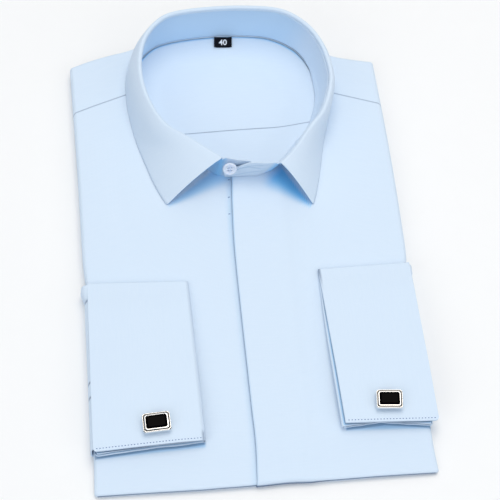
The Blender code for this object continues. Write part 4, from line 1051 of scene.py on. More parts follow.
# Cloth that comes up inside, over the roll and down to the free edge
def makeLeaf():
    form, end = collarForm, collarForm["leafEnd"]
    close = np.linspace(0, end, 9)[:-1]
    t = np.concatenate([close, np.linspace(end, lastRow - end, 235), lastRow - close[::-1]])
    roll, edge = rollAt(t), leafEdgeAt(t)
    run = runLengths(edge)
    near = 1.0 - np.minimum(np.minimum(run, run[-1] - run) / form["pointRound"], 1.0)
    rounded = form["pointRound"] * (1.0 - np.sqrt(1.0 - near * near))
    edge = edge + unit(roll - edge) * rounded[:, None]
    ahead, behind = rollAt(np.minimum(t + 0.1, lastRow)), rollAt(np.maximum(t - 0.1, 0))
    out = outwardOf(ahead[:, :2], behind[:, :2])
    start, drop, radius = form["standOut"], form["rollStart"] / 2, form["rollRadius"]
    level = edge[:, :2] - roll[:, :2]
    slope = np.arctan2(roll[:, 2] - edge[:, 2], np.linalg.norm(level, axis=1))
    stop = np.clip(np.pi / 2 - slope + math.radians(form["crown"]), 0.1, 1.3)
    sections = [withHeight(roll[:, :2] + out * start, roll[:, 2] - form["rollStart"] * share)
                for share in (1.0, 0.75, 0.5)]
    for share in np.linspace(0, 1, 9)[1:]:
        angle = math.pi + (stop - math.pi) * share
        sections.append(withHeight(roll[:, :2] + out * (start + radius * (1 + np.cos(angle)))[:, None],
                                   roll[:, 2] + radius * np.sin(angle) - drop))
    shoulder = sections[-1]
    size = np.linalg.norm(edge - shoulder, axis=1, keepdims=True)
    atEnd = 1.0 - smoothStep(np.minimum(t, lastRow - t) / 2.0)[:, None]
    away = unit(out * (1.0 - atEnd) + unit(level) * atEnd)
    leave = size * withHeight(away * np.sin(stop)[:, None], -np.cos(stop))
    steep = slope + math.radians(form["settle"])
    arrive = size * withHeight(unit(level) * np.cos(steep)[:, None], -np.sin(steep))
    for f in np.arange(1, form["leafRows"] + 1) / form["leafRows"]:
        sections.append((2 * f ** 3 - 3 * f ** 2 + 1) * shoulder + (f ** 3 - 2 * f ** 2 + f) * leave
                        + (3 * f ** 2 - 2 * f ** 3) * edge + (f ** 3 - f ** 2) * arrive)
    grid = np.stack(sections, axis=1)
    # Painted shade: blue shade on the underside and the end rims, and dark shadow lines along the free edge
    # and the front ends
    paintedBlueShade, dark = np.zeros(grid.shape[:2]), np.zeros(grid.shape[:2])
    dark[:, -1] = np.interp(t, *zip(*form["edgeShadowLine"]))
    for row in (0, -1):
        paintedBlueShade[row, form["endShadeRow"]:], dark[row, form["endShadeRow"]:] = 1.0, 0.3
    return addCloth("collarLeaf", grid, form["wall"], 0.35, (0.5, 0.0, paintedBlueShade), (0.0, 0.0, dark))


collarStand = finishPiece(makeStand(), "collar_stand")
collarLeaf = finishPiece(makeLeaf(), "collar_leaf")
print("collar made")


cuffForm = {
    "ply": 0.6,
    "plyOffset": 0.45,         # each wall's two plies lie this far from its middle
    "wallGap": 2.7,            # between the middles of the two walls
    "wallHalf": 1.15,          # half a wall's height, with both its plies
    "restsAt": 1.75,           # lower wall above the middle of the body's top cloth
    "foldPress": 0.75,
    "liftFold": 0.3,
    "liftSlit": 3.8,
    "droop": (1.15, 0.45),     # of the lower wall's slit edge: both plies, and how far they part
    "columns": 64,
    "rows": 84,
    "innerEnd": 0.985,
    "stitchPitch": 2.1,
    "stitchInset": 1.5,
    "cornerRound": 2.4,
}


def mixed(a, b, t):
    a, b, t = np.asarray(a, float), np.asarray(b, float), np.asarray(t, float)[..., None]
    return a + (b - a) * t


def cuffPlan(data, q, p):
    slit = mixed(data["handSlit"], data["sleeveSlit"], q)
    return slit + (mixed(data["handTop"], data["sleeveTop"], q) - slit) * np.asarray(p, float)[..., None]


# Width along the slit, and length from the slit to the fold
def cuffSize(data):
    return (float(np.linalg.norm(np.subtract(data["handSlit"], data[end])))
            for end in ("sleeveSlit", "handTop"))


def cuffFoot(data, q, p):
    plan, form = cuffPlan(data, q, p), cuffForm
    x = np.clip(plan[..., 0], -107.5, 107.5)
    lift = form["liftFold"] + (form["liftSlit"] - form["liftFold"]) * smoothStep(1.15 - 1.3 * np.asarray(p))
    pressed = form["foldPress"] * (1.0 - smoothStep((1.0 - np.asarray(p)) / 0.2))
    return bodyHeight(x, np.maximum(plan[..., 1], 12.0)) + lift - pressed + form["restsAt"]


# Between the middles of the two walls: pressed thin towards the fold and the hand edge
def cuffGap(data, q, p):
    fold = smoothStep((1.0 - np.asarray(p)) / 0.2)
    hand = smoothStep(np.clip(np.asarray(q), 0, 1) / 0.25)
    gap = cuffForm["wallGap"] * (0.4 + 0.6 * fold)
    return gap * (1.0 - data["handPress"] * (1.0 - hand))


# Soft unevenness of the upper wall
def cuffTopRelief(data, q, p):
    side = data["side"]
    wave = 0.22 * np.sin(5.1 * q + 1.4 * side) * np.sin(3.3 * p + 0.6)
    wave = wave + 0.30 * np.exp(-((q - 0.62) / 0.16) ** 2 - ((p - 0.45) / 0.5) ** 2)
    wave = wave - 0.22 * np.exp(-((q - 0.22 - 0.2 * p) / 0.10) ** 2 - ((p - 0.62) / 0.4) ** 2)
    return wave * smoothStep(p / 0.12) * smoothStep((1.0 - p) / 0.10)


# Across the flat cuff at q: lower wall from the slit, round the fold, upper wall back to the slit
def cuffSection(data, q, offset, lowerShare, show):
    form, bare = cuffForm, np.ones(cuffForm["rows"] + 1)
    half = float(cuffGap(data, q, 1.0)) / 2
    length = float(np.linalg.norm(cuffPlan(data, q, 1.0) - cuffPlan(data, q, 0.0)))
    width, _ = cuffSize(data)
    straight = 1.0 - (half + form["plyOffset"]) / length
    steps = np.linspace(0, 1, len(bare)) ** 1.6
    near = 1.0 - min((1.0 - min(q, 1.0)) * width / form["cornerRound"], 1.0)
    rounded = form["cornerRound"] * (1.0 - math.sqrt(1.0 - near * near)) / length
    lowerP = (0.6 * rounded - show / length) + (straight + show / length - 0.6 * rounded) * steps
    lowerQ = q * lowerShare * bare - data["handShow"] / 66.0 * (1 - np.clip(lowerP, 0, 1) ** 3) * (1 - q)
    lowerQ = lowerQ + (q - q * lowerShare) * smoothStep((steps - 0.55) / 0.45)
    both, apart = form["droop"]
    droop = (both + apart * offset / form["plyOffset"]) * (1 - np.clip(lowerP * 5.0, 0, 1)) ** 2
    lower = withHeight(cuffPlan(data, lowerQ, lowerP), cuffFoot(data, lowerQ, lowerP) - offset - droop)
    angle, reach = np.radians([-75, -55, -35, -15, 5, 25, 45, 62, 77]), half + offset
    bend = withHeight(cuffPlan(data, q * np.ones(len(angle)), straight + reach * np.cos(angle) / length),
                      cuffFoot(data, q, straight) + half + reach * np.sin(angle))
    upperP, upperQ = rounded + (straight - rounded) * steps[::-1], q * bare
    height = cuffFoot(data, upperQ, upperP) + cuffGap(data, upperQ, upperP) + offset
    upper = withHeight(cuffPlan(data, upperQ, upperP), height + cuffTopRelief(data, upperQ, upperP))
    return np.concatenate([lower, bend, upper])


def tableAt(table, q):
    keys = np.array(table)
    share = np.clip(q, 0, 1)
    i = int(np.clip(np.searchsorted(keys[:, 0], share, side="right") - 1, 0, len(keys) - 2))
    f = smoothStep((share - keys[i, 0]) / (keys[i + 1, 0] - keys[i, 0]))
    return float(keys[i, 1] + (keys[i + 1, 1] - keys[i, 1]) * f)


def makeCuff(name, data):
    width, _ = cuffSize(data)
    form, offset = cuffForm, cuffForm["plyOffset"]
    share = np.arange(1, form["columns"] + 1) / form["columns"]
    # Stations along the outer plies from the sleeve to the hand, round the hand edge and back inside
    stations = [(1.0 - (place - share[0]) ** 1.4, offset, True) for place in share]
    for angle in np.radians((90, 67, 45, 22, 0, -22, -45, -67, -90)):
        stations.append((-offset * math.cos(angle) / width, offset * math.sin(angle), False))
    stations += [(form["innerEnd"] * place, -offset, False) for place in share]
    sections = []
    for q, off, outer in stations:
        share = 0.5 + 0.5 * off / offset
        show = tableAt(data["innerShow"], q) * (1 - share) + tableAt(data["outerShow"], q) * share
        sections.append(cuffSection(data, q, off, data["lowerEnd"], show))
    run = np.array([runLengths(section) for section in sections])
    fromSlit = np.minimum(run, run[:, -1:] - run)
    q, _, outer = (np.array(column)[:, None] for column in zip(*stations))
    fromHand = q * width
    innerShow, outerShow = (np.array([tableAt(data[k], share) for share in q[:, 0]])[:, None]
                            for k in ("innerShow", "outerShow"))
    along = np.clip(2.0 * fromSlit / run[:, -1:], 0, 1)
    # Painted shade: blue shade on the inner faces, and dark shadow lines between the plies near the slit and
    # at the hand
    inward = 0.4 * smoothStep((fromSlit - 0.3) / 0.5) * smoothStep((fromHand - 0.3) / 0.5)
    dark = smoothStep((fromSlit - np.where(outer, outerShow - innerShow - 0.2, innerShow - 0.3)) / 0.5)
    dark = data["gapShadowLine"] * dark * smoothStep((fromHand - data["handShow"] * (1 - along ** 3) + 1.1) / 0.8)
    atHand = smoothStep(2.0 - fromHand / 3.0) * smoothStep((fromSlit - 4.0) / 4.0)
    dark = dark * (1.0 - (1.0 - data["handShadowLine"]) * atHand)
    shares = []
    for inner in (inward, dark):
        outward = np.where(outer, 0.0, inner)
        shares.append((inner, outward, 0.0) if data["side"] > 0 else (outward, inner, 0.0))
    return addCloth(name, np.array(sections), form["ply"], 0.42, *shares)


# A row of short thread stitches along a line of points, sunk half into the cloth
def addStitches(name, points, pitch, length=0.9, radius=0.32):
    total = runLengths(points)[-1]
    count = max(int(total / pitch), 1)
    at = (np.arange(count) + 0.5) * total / count
    ahead, up = unit(atLengths(points, at + 0.2) - atLengths(points, at - 0.2)), np.array((0.0, 0.0, 1.0))
    side = unit(np.cross(up, ahead))
    rings, sides = np.array([(-0.5, 0.35), (-0.3, 0.9), (0.3, 0.9), (0.5, 0.35)]), 6
    angle = 2 * math.pi * np.arange(sides) / sides
    along, wide = (column[:, None] * np.ones(sides) for column in rings.T)
    parts = ((ahead, along * length), (side, wide * radius * np.cos(angle)),
             (up[None], wide * radius * np.sin(angle)))
    verts = sum(way[:, None, None] * size[..., None] for way, size in parts)
    verts = atLengths(points, at)[:, None, None] + verts
    index = np.arange(wide.size).reshape(wide.shape)
    stitch = gridFaces(np.column_stack([index, index[:, 0]])).tolist() + [index[0, ::-1], index[-1]]
    faces = [np.add(face, index.size * k) for k in range(count) for face in stitch]
    return addMesh(name, verts.reshape(-1, 3), faces, stitchThread)


def cuffStitches(name, data):
    inset, (width, length) = cuffForm["stitchInset"], cuffSize(data)
    q = np.linspace(0.012, 1 - inset / width, 90)
    p = np.full(len(q), inset / length)
    z = cuffFoot(data, q, p) + cuffGap(data, q, p) + cuffForm["plyOffset"] + cuffTopRelief(data, q, p)
    points = withHeight(cuffPlan(data, q, p), z + 0.5 * cuffForm["ply"] + 0.02)
    return addStitches(name, points, cuffForm["stitchPitch"])


sleeves = {
    "start": 0.955,
    "wall": 1.0,
    "foot": 0.8,
    "reach": 1.5,              # beyond the body's own fold
    "rows": (0.02, 0.99, 200),                 # first, last and how many, from the slit to the fold
    "turns": 14,               # steps round the fold
    # seam is the share of a painted dark shadow line beside the cuff; the nicks are painted dark as well
    "seam": 0.6,               # dark share beside the cuff
    "bulges": [(0.968, 0.032, 1.6), (0.72, 0.10, 0.2), (0.1, 0.08, 0.3)],      # place, spread, rise
    "nicks": [(0.90, 0.008, 0.8), (0.403, 0.006, 0.9), (0.318, 0.006, 0.9)],
}


# Comes out of the cuff's end, round the side and down to the table
def makeSleeve(name, data):
    rows, paintedShades = [], []
    side, turns, reach = data["side"], sleeves["turns"], bodyForm["foldReach"] + sleeves["reach"]
    for p in np.linspace(*sleeves["rows"]):
        x, y = cuffPlan(data, sleeves["start"], p)
        height = float(cuffFoot(data, sleeves["start"], p)) + cuffForm["wallGap"] / 2
        # Painted dark shadow line beside the cuff and in the nicks
        besideShadow = sleeves["seam"] * float(smoothStep((p - 0.03) / 0.06) * smoothStep((0.95 - p) / 0.08))
        fx, fy = nearestOnLoop(flatLoop, np.array([[side * 300.0, y]]))[1][0]
        centre = float(bodyHeight(fx, fy) - foldRise(fy))
        first = math.degrees(math.asin(max(0.0, min(0.95, (abs(x) - abs(fx)) / reach))))
        swell = sum(rise * math.exp(-((p - at) / spread) ** 2) for at, spread, rise in sleeves["bulges"])
        line, paintedShade = [(x, y, height)], [besideShadow]
        for step in range(1, turns + 1):
            angle = math.radians(first + (90 - first) * step / turns)
            nick = sum(deep * math.exp(-((p - at + 0.0015 * step) / spread) ** 2)
                       for at, spread, deep in sleeves["nicks"])
            grow = (swell - nick) * math.sin(math.pi / 2 * step / turns)
            paintedShade.append(max(besideShadow - 0.3 * step, 0.0) + 0.9 * nick)
            line.append((fx + side * (reach + 0.5 * grow) * math.sin(angle), y,
                         centre + (height - centre) * max(math.cos(angle), 0.0) ** 0.6))
        for share in (0.2, 0.4, 0.6, 0.8, 1.0):
            wave = (0.5 * swell + 0.4 * math.sin(9 * p + 4 * share)) * math.sin(math.pi * (0.5 + 0.5 * share))
            line.append((line[turns][0] - side * (0.8 * share - wave), y,
                         centre + (sleeves["foot"] - centre) * share))
            paintedShade.append(0.0)
        rows.append(line)
        paintedShades.append(paintedShade)
    paintedShades = np.array(paintedShades)
    return addCloth(name, np.array(rows), sleeves["wall"], line=(paintedShades, paintedShades, 0.0))


# Short tacks on the under front, close to the placket's edge
def placketTacks():
    edge, (start, stop, rise), tacks = smoothCurve(fronts["placketEdge"]), fronts["tackSpan"], []
    for y in fronts["tacks"]:
        x = float(np.interp(y, edge[:, 1], edge[:, 0]))
        z = float(bodyHeight(x - 1.9, y) + foldRelief(x - 1.9, y)) + 0.5 * bodyForm["wall"] + 0.02
        span = np.array([(x + start, y, z), (x + stop, y + rise, z)])
        tacks.append(addStitches("placketTacks", span, 1.6, 1.5))
    pickParts(*tacks)
    bpy.ops.object.join()
    return tacks[0]


cuffPieces, sleevePieces = {}, {}
finishPiece(placketTacks())
for hand, data in cuffs.items():
    tail = hand.capitalize()
    cuffPieces[hand] = finishPiece(makeCuff("cuff" + tail, data), "cuff_" + hand)
    finishPiece(cuffStitches("cuffStitches" + tail, data))
    sleevePieces[hand] = finishPiece(makeSleeve("sleeve" + tail, data), "sleeve_" + hand)
print("cuffs and sleeves made")


# A primitive with its place in its mesh
def startPart(add, name, material=None, **how):
    deselectAll()
    add(**how)
    part = bpy.context.object
    part.name = part.data.name = name
    bpy.ops.object.transform_apply(location=True, rotation=True, scale=True)
    if material:
        part.data.materials.append(material)
    return part


def editPart(part):
    pickParts(part)
    bpy.ops.object.mode_set(mode="EDIT")
    bpy.ops.mesh.select_all(action="DESELECT")


def pick(part, kind, test):
    bpy.ops.mesh.select_mode(type=kind)
    bpy.ops.object.mode_set(mode="OBJECT")
    mesh = part.data
    for items in (mesh.vertices, mesh.edges, mesh.polygons):
        items.foreach_set("select", [False] * len(items))
    for item in mesh.polygons if kind == "FACE" else mesh.edges:
        item.select = bool(test(item))
    bpy.ops.object.mode_set(mode="EDIT")


def pickFaces(part, test):
    pick(part, "FACE", lambda face: test(face.center, face.normal))


def pickEdges(part, test):
    pick(part, "EDGE", lambda edge: test(*(part.data.vertices[i].co for i in edge.vertices)))


# Extrudes the picked face in place, scales it about the middle and moves it up or down
def stepOut(x, y, z):
    bpy.ops.mesh.extrude_region()
    bpy.ops.transform.resize(value=(x, y, 1.0), center_override=(0, 0, 0))
    bpy.ops.transform.translate(value=(0, 0, z * mm))


def applyModifiers(part, smoothAngle):
    pickParts(part)
    for modifier in list(part.modifiers):
        bpy.ops.object.modifier_apply(modifier=modifier.name)
    bpy.ops.object.shade_smooth_by_angle(angle=math.radians(smoothAngle))


def softenEdges(part, width, angle):
    bevel = part.modifiers.new("softEdges", "BEVEL")
    bevel.width, bevel.segments, bevel.limit_method = width * mm, 2, "ANGLE"
    bevel.angle_limit = math.radians(angle)


# Adds another part to this one, or cuts it out
def combine(part, other, operation, smoothAngle):
    change = part.modifiers.new("combined", "BOOLEAN")
    change.operation, change.object, change.solver = operation, other, "EXACT"
    applyModifiers(part, smoothAngle)
    bpy.data.objects.remove(other, do_unlink=True)


# Turns and moves a part made about the origin, then puts its place into its mesh
def seat(part, at, turn):
    pickParts(part)
    part.rotation_mode = "QUATERNION"
    part.rotation_quaternion = turn
    part.location = toRow([at])[0]
    bpy.ops.object.transform_apply(location=True, rotation=True, scale=True)


# A hard shiny finish whose roughness varies finely
def polished(name, colour, metallic=1.0, others=()):
    material, tree, shader = newMaterial(name, colour, 0.06, metallic, others)
    place, grain = addNode(tree, "TexCoord"), addNode(tree, "TexNoise", {"Scale": 900.0, "Detail": 4.0})
    ramp = addNode(tree, "MapRange", {"To Min": 0.03, "To Max": 0.11})
    addLinks(tree, (place, "Object", grain, "Vector"), (grain, "Fac", ramp, "Value"),
             (ramp, "Result", shader, "Roughness"))
    return material


link = {
    "thickness": 3.8,
    "frameLow": 1.1,           # where the frame's edge and the post's collar end
    "bezel": 1.3,              # from the top of the edge to the top of the stone
    "corners": {"left": (1.7, 5), "right": (1.3, 1)},       # size and steps
    "groove": (0.27, 0.30, 0.45),              # from the rim and width, as shares of the ring, and depth
    "footSteps": [(0.3, -0.6), (1.2, -0.5)],   # insets and drops under the frame
    "stoneTop": 0.45,          # from the top of the frame to the stone's straight edge
    "stoneDepth": 1.45,
    "stoneCorner": (0.55, 5),
    "facets": [(0.4, 0.35), (1.2, 0.40)],      # insets and rises
    "below": 1.75,             # from the cuff's underside to the middle of the toggle
    "stand": 2.0,
    "post": 2.4,
    "postCollar": 2.6,
    "toggle": (2.6, 15.0),
    "chrome": (0.86, 0.86, 0.85),
    # dark chrome painted in as shade in the frame's groove and as a dark reflection on the right link's lower
    # corner slopes
    "paintedDarkChrome": (0.055, 0.05, 0.045),
    "onyx": (0.0006, 0.0006, 0.001),
}


chrome, paintedDarkChrome = polished("polishedChrome", link["chrome"]), polished("chromeWithPaintedShade", link["paintedDarkChrome"])
onyx = polished("blackStone", link["onyx"], 0.0, {"Specular IOR Level": 0.02})


def startBlock(name, width, length, low, high, corner, steps, material):
    block = startPart(bpy.ops.mesh.primitive_cube_add, name, material, size=1.0,
                      location=(0, 0, 0.5 * mm * (low + high)),
                      scale=(width * mm, length * mm, (high - low) * mm))
    editPart(block)
    pickEdges(block, lambda a, b: abs(a.x - b.x) < 1e-6 and abs(a.y - b.y) < 1e-6)
    bpy.ops.mesh.bevel(offset=corner * mm, segments=steps, affect="EDGES")
    return block


def facing(z, low):
    return lambda centre, normal: normal.z * z > 0.99 and abs(centre.z - low * mm) < 1e-5


# Steps the picked face inwards through a list of insets and rises; across is the ring's width each way
def stepThrough(width, length, steps, across=(1.0, 1.0)):
    a, b = across
    inset = 0.0
    for farther, rise in steps:
        stepOut((width - 2 * a * farther) / (width - 2 * a * inset),
                (length - 2 * b * farther) / (length - 2 * b * inset), rise)
        inset = farther


def makeLinkFrame(name, data, corner):
    (w, l), (sw, sl) = data["linkSize"], data["stone"]
    low, high = link["frameLow"], link["thickness"] - link["bezel"]
    frame = startBlock(name, w, l, low, high, *corner, chrome)
    start, width, depth = link["groove"]
    pickFaces(frame, facing(1, high))
    stepThrough(w, l, [(0.14, 0.7), (start, 0.05), (start + 0.05, -depth), (start + width - 0.05, 0.0),
                       (start + width, depth + 0.25), (0.86, 0.15), (0.96, -0.4), (0.96, -1.8)],
                ((w - sw) / 2, (l - sl) / 2))
    pickFaces(frame, facing(-1, low))
    stepThrough(w, l, link["footSteps"])
    bpy.ops.object.mode_set(mode="OBJECT")
    # Faces in the groove, and the right link's lower front corner slopes, take the dark chrome: painted shade
    # and a painted dark reflection
    frame.data.materials.append(paintedDarkChrome)
    floor = (link["thickness"] - 0.55 - depth) * mm
    for face in frame.data.polygons:
        x, y = abs(face.center.x) / mm, abs(face.center.y) / mm
        inGroove = (abs(min(frame.data.vertices[i].co.z for i in face.vertices) - floor) < 1e-6
                    and max(2 * x - sw, 2 * y - sl) > 0.8 and face.normal.z > -0.2)
        onCorner = min(w / 2 - x, 1.9) + min(l / 2 - y, 1.9) < 1.9 and corner[1] == 1
        slope = 0.2 < face.normal.z < 0.98 and face.center.y < 0
        face.material_index = int(inGroove or onCorner and slope)
    softenEdges(frame, 0.12, 25)
    applyModifiers(frame, 30)
    return frame


def makeLinkStone(name, data):
    sw, sl = data["stone"]
    table = link["thickness"] - link["stoneTop"]
    stone = startBlock(name, sw, sl, table - link["stoneDepth"], table, *link["stoneCorner"], onyx)
    pickFaces(stone, facing(1, table))
    stepThrough(sw, sl, link["facets"])
    bpy.ops.object.mode_set(mode="OBJECT")
    softenEdges(stone, 0.06, 20)
    applyModifiers(stone, 20)
    return stone


# Round post with a collar under the plate, and a swivel bar across its foot
def makeLinkPost(name, depth):
    r, low = link["post"] / 2, link["frameLow"]
    (d, length), cylinder = link["toggle"], bpy.ops.mesh.primitive_cylinder_add
    post = startPart(cylinder, name, chrome, vertices=28, radius=r * mm, depth=(depth - low) * mm,
                     location=(0, 0, -0.5 * mm * (depth + low)))
    editPart(post)
    pickFaces(post, facing(1, -low))
    stepOut(link["postCollar"] / r, link["postCollar"] / r, 0.3)
    stepOut(1.0, 1.0, 0.45)
    bpy.ops.object.mode_set(mode="OBJECT")
    bar = startPart(cylinder, "bar", vertices=28, radius=d / 2 * mm, depth=(length - 1.0) * mm,
                    location=(0, 0, -depth * mm), rotation=(0, math.pi / 2, 0))
    editPart(bar)
    for side in (1, -1):
        pickFaces(bar, lambda centre, normal: normal.x * side > 0.99)
        bpy.ops.mesh.extrude_region()
        end = (side * length / 2 * mm, 0, -depth * mm)
        bpy.ops.transform.resize(value=(1.0, 0.7, 0.7), center_override=end)
        bpy.ops.transform.translate(value=(side * 0.5 * mm, 0, 0))
    bpy.ops.object.mode_set(mode="OBJECT")
    combine(post, bar, "UNION", 35)
    return post


# Underside and top of the closed cuff where its link goes through
def linkHeights(data):
    width, length = cuffSize(data)
    q = np.linalg.norm(np.subtract(data["link"], data["handSlit"])) / width
    p = (data["link"][1] - mixed(data["handSlit"], data["sleeveSlit"], q)[1]) / length
    foot = float(cuffFoot(data, abs(data["link"][0] - cuffPlan(data, 0.0, p)[0]) / width, p))
    return foot - cuffForm["wallHalf"], foot + cuffForm["wallGap"] + cuffForm["wallHalf"]


for hand, data in cuffs.items():
    tail = hand.capitalize()
    low, top = linkHeights(data)
    plate = top + link["stand"]
    at, spin = (*data["link"], plate), Quaternion((0, 0, 1), data["turn"])
    parts = {"frame": makeLinkFrame("linkFrame" + tail, data, link["corners"][hand]),
             "stone": makeLinkStone("linkStone" + tail, data),
             "post": makeLinkPost("linkPost" + tail, plate - low + link["below"])}
    for kind, part in parts.items():
        seat(part, at, spin)
        finishPiece(part, "cufflink_" + hand + "_" + kind)
print("cufflinks made")


button = {
    "centre": (-6.1, 226.4, 38.8),
    "diameter": 10.4,
    "thickness": 2.2,
    "tilt": math.radians(22),
    "holeSpacing": 2.3,
    "holeRadius": 0.62,
    "rings": [  # inset from the rim, height above the back
        (0.9, 0.5), (0.15, 0.65), (0.0, 1.1), (0.25, 1.85), (0.8, 2.18), (1.3, 2.2), (1.8, 1.95), (2.3, 1.5),
        (2.7, 1.42)],
    "strand": (0.13, 0.22, 1.35),              # radius, spacing, and its middle below the top
    "shank": (0.8, 1.4, 0.45),                 # radius, height, and its middle below the back
    "surface": {"Subsurface Weight": 0.15, "Subsurface Radius": (0.002, 0.0024, 0.003), "Coat Weight": 0.5,
                "Coat Roughness": 0.08},
    "clouds": {"Scale": 260.0, "Detail": 3.0, "Distortion": 1.6},
    "tints": ((0.66, 0.76, 0.98), (0.85, 0.90, 1.0)),
}
pearl, pearlTree, pearlShader = newMaterial("pearlButton", (0.90, 0.93, 0.98), 0.18, 0.0, button["surface"])
place, cloud = addNode(pearlTree, "TexCoord"), addNode(pearlTree, "TexNoise", button["clouds"])
tint = mixNode(pearlTree, *button["tints"])
addLinks(pearlTree, (place, "Object", cloud, "Vector"), (cloud, "Fac", tint, "Factor"),
         (tint, "Result", pearlShader, "Base Color"))


def makeButton():
    r, half, hole = button["diameter"] / 2, button["thickness"] / 2, button["holeSpacing"]
    cylinder = bpy.ops.mesh.primitive_cylinder_add
    inset, height = button["rings"][0]
    disc = startPart(cylinder, "collarButton", pearl, vertices=64, radius=(r - inset) * mm,
                     depth=height * mm, location=(0, 0, (height / 2 - half) * mm))
    editPart(disc)
    pickFaces(disc, facing(1, height - half))
    for farther, higher in button["rings"][1:]:
        scale = (r - farther) / (r - inset)
        stepOut(scale, scale, higher - height)
        inset, height = farther, higher
    bpy.ops.object.mode_set(mode="OBJECT")
    drill = startPart(cylinder, "drill", vertices=16, radius=button["holeRadius"] * mm, depth=20 * mm,
                      location=(hole / 2 * mm, hole / 2 * mm, 0))
    editPart(drill)
    bpy.ops.mesh.select_all(action="SELECT")
    for sx, sy in ((-1, 0), (0, -1), (1, 0)):
        bpy.ops.mesh.duplicate()
        bpy.ops.transform.translate(value=(sx * hole * mm, sy * hole * mm, 0))
    bpy.ops.object.mode_set(mode="OBJECT")
    combine(disc, drill, "DIFFERENCE", 40)
    return disc


# Two strands between the holes and the wrapped shank below
def makeButtonThread():
    half, hole = button["thickness"] / 2, button["holeSpacing"]
    radius, height, below = button["shank"]
    shank = startPart(bpy.ops.mesh.primitive_cylinder_add, "buttonThread", buttonThread, vertices=20,
                      radius=radius * mm, depth=height * mm, location=(0, 0, (-half - below) * mm))
    editPart(shank)
    pickFaces(shank, lambda centre, normal: normal.z < -0.99)
    stepOut(1.35, 1.35, -0.15)
    bpy.ops.object.mode_set(mode="OBJECT")
    radius, spacing, below = button["strand"]
    strands = [startPart(bpy.ops.mesh.primitive_torus_add, "strand", buttonThread,
                         rotation=(math.pi / 2, 0, 0),
                         major_radius=hole / 2 * mm, minor_radius=radius * mm, major_segments=24,
                         minor_segments=8, location=(0, (across + shift) * mm, (half - below) * mm))
               for across in (-hole / 2, hole / 2) for shift in (-spacing, 0.0, spacing)]
    pickParts(shank, *strands)
    bpy.ops.object.join()
    bpy.ops.object.shade_smooth_by_angle(angle=math.radians(50))
    return shank


buttonAxis = Vector((0.0, -math.cos(button["tilt"]), math.sin(button["tilt"])))
buttonTurn = buttonAxis.to_track_quat("Z", "Y")
collarButton, buttonSewing = makeButton(), makeButtonThread()
for part in (collarButton, buttonSewing):
    seat(part, button["centre"], buttonTurn)
finishPiece(collarButton, "collar_button")
finishPiece(buttonSewing)
print("button made")


label = {
    "centre": (-1.1, 358.7),
    "size": (13.4, 8.2),
    "turn": math.radians(-4),
    "wall": 0.5,
    "curl": 0.5,
    "restsAt": 0.9,            # above the middle of the yoke
    "numerals": "40",
    "numeralSize": (0.0062, 0.00012, 0.00006),     # height, boldness and half thickness, in metres
    "colour": (0.004, 0.004, 0.008),
}
satin, satinTree, satinShader = newMaterial("labelSatin", label["colour"], 0.7, 0.0,
                                            {"Specular IOR Level": 0.12})
satinUv = addNode(satinTree, "UVMap", uv_map="cloth")
satinWave = addNode(satinTree, "TexWave", {"Scale": 900.0})
satinBump = addNode(satinTree, "Bump", {"Distance": 0.00005})
addLinks(satinTree, (satinUv, "UV", satinWave, "Vector"), (satinWave, "Fac", satinBump, "Height"),
         (satinBump, "Normal", satinShader, "Normal"))
numeralThread = grainMaterial("numeralThread", *threads["numeral"], threads["roughness"], 1800.0,
                              (1.0, 4.0, 1.0))


def labelPoint(u, v):
    c, s = math.cos(label["turn"]), math.sin(label["turn"])
    x, y = label["centre"][0] + u * c - v * s, label["centre"][1] + u * s + v * c
    plan = np.stack([x, y], axis=-1)
    z = bodyHeight(x, y) - neckDip(plan) + label["restsAt"] + 0.5 * label["wall"]
    return withHeight(plan, z + label["curl"] * (2 * u / label["size"][0]) ** 4)


def makeLabel():
    w, l = label["size"]
    v, u = np.meshgrid(np.linspace(-l / 2, l / 2, 25), np.linspace(-w / 2, w / 2, 41), indexing="ij")
    ragged = 0.18 * np.sin(v * 5.1) + 0.12 * np.sin(v * 11.7 + 1.0)
    u = u * (1 + ragged * np.abs(2 * u / w) ** 6 / (w / 2))
    return addCloth("sizeLabel", labelPoint(u, v), label["wall"], material=satin)


def makeNumerals():
    curve = bpy.data.curves.new("labelNumerals", "FONT")
    curve.body = label["numerals"]
    curve.size, curve.offset, curve.extrude = label["numeralSize"]
    curve.align_x, curve.align_y = "CENTER", "CENTER"
    text = bpy.data.objects.new("labelNumerals", curve)
    bpy.context.collection.objects.link(text)
    pickParts(text)
    bpy.ops.object.convert(target="MESH")
    mesh = text.data
    points = np.array([v.co[:] for v in mesh.vertices]) * 1000.0
    placed = toRow(labelPoint(points[:, 0], points[:, 1] - 0.4) + (0, 0, 0.5 * label["wall"] + 0.05)
                   + np.column_stack([np.zeros((len(points), 2)), points[:, 2]]))
    for vertex, at in zip(mesh.vertices, placed):
        vertex.co = at
    mesh.materials.append(numeralThread)
    return text


sizeLabel = finishPiece(makeLabel(), "size_label")
finishPiece(makeNumerals())
print("label made")


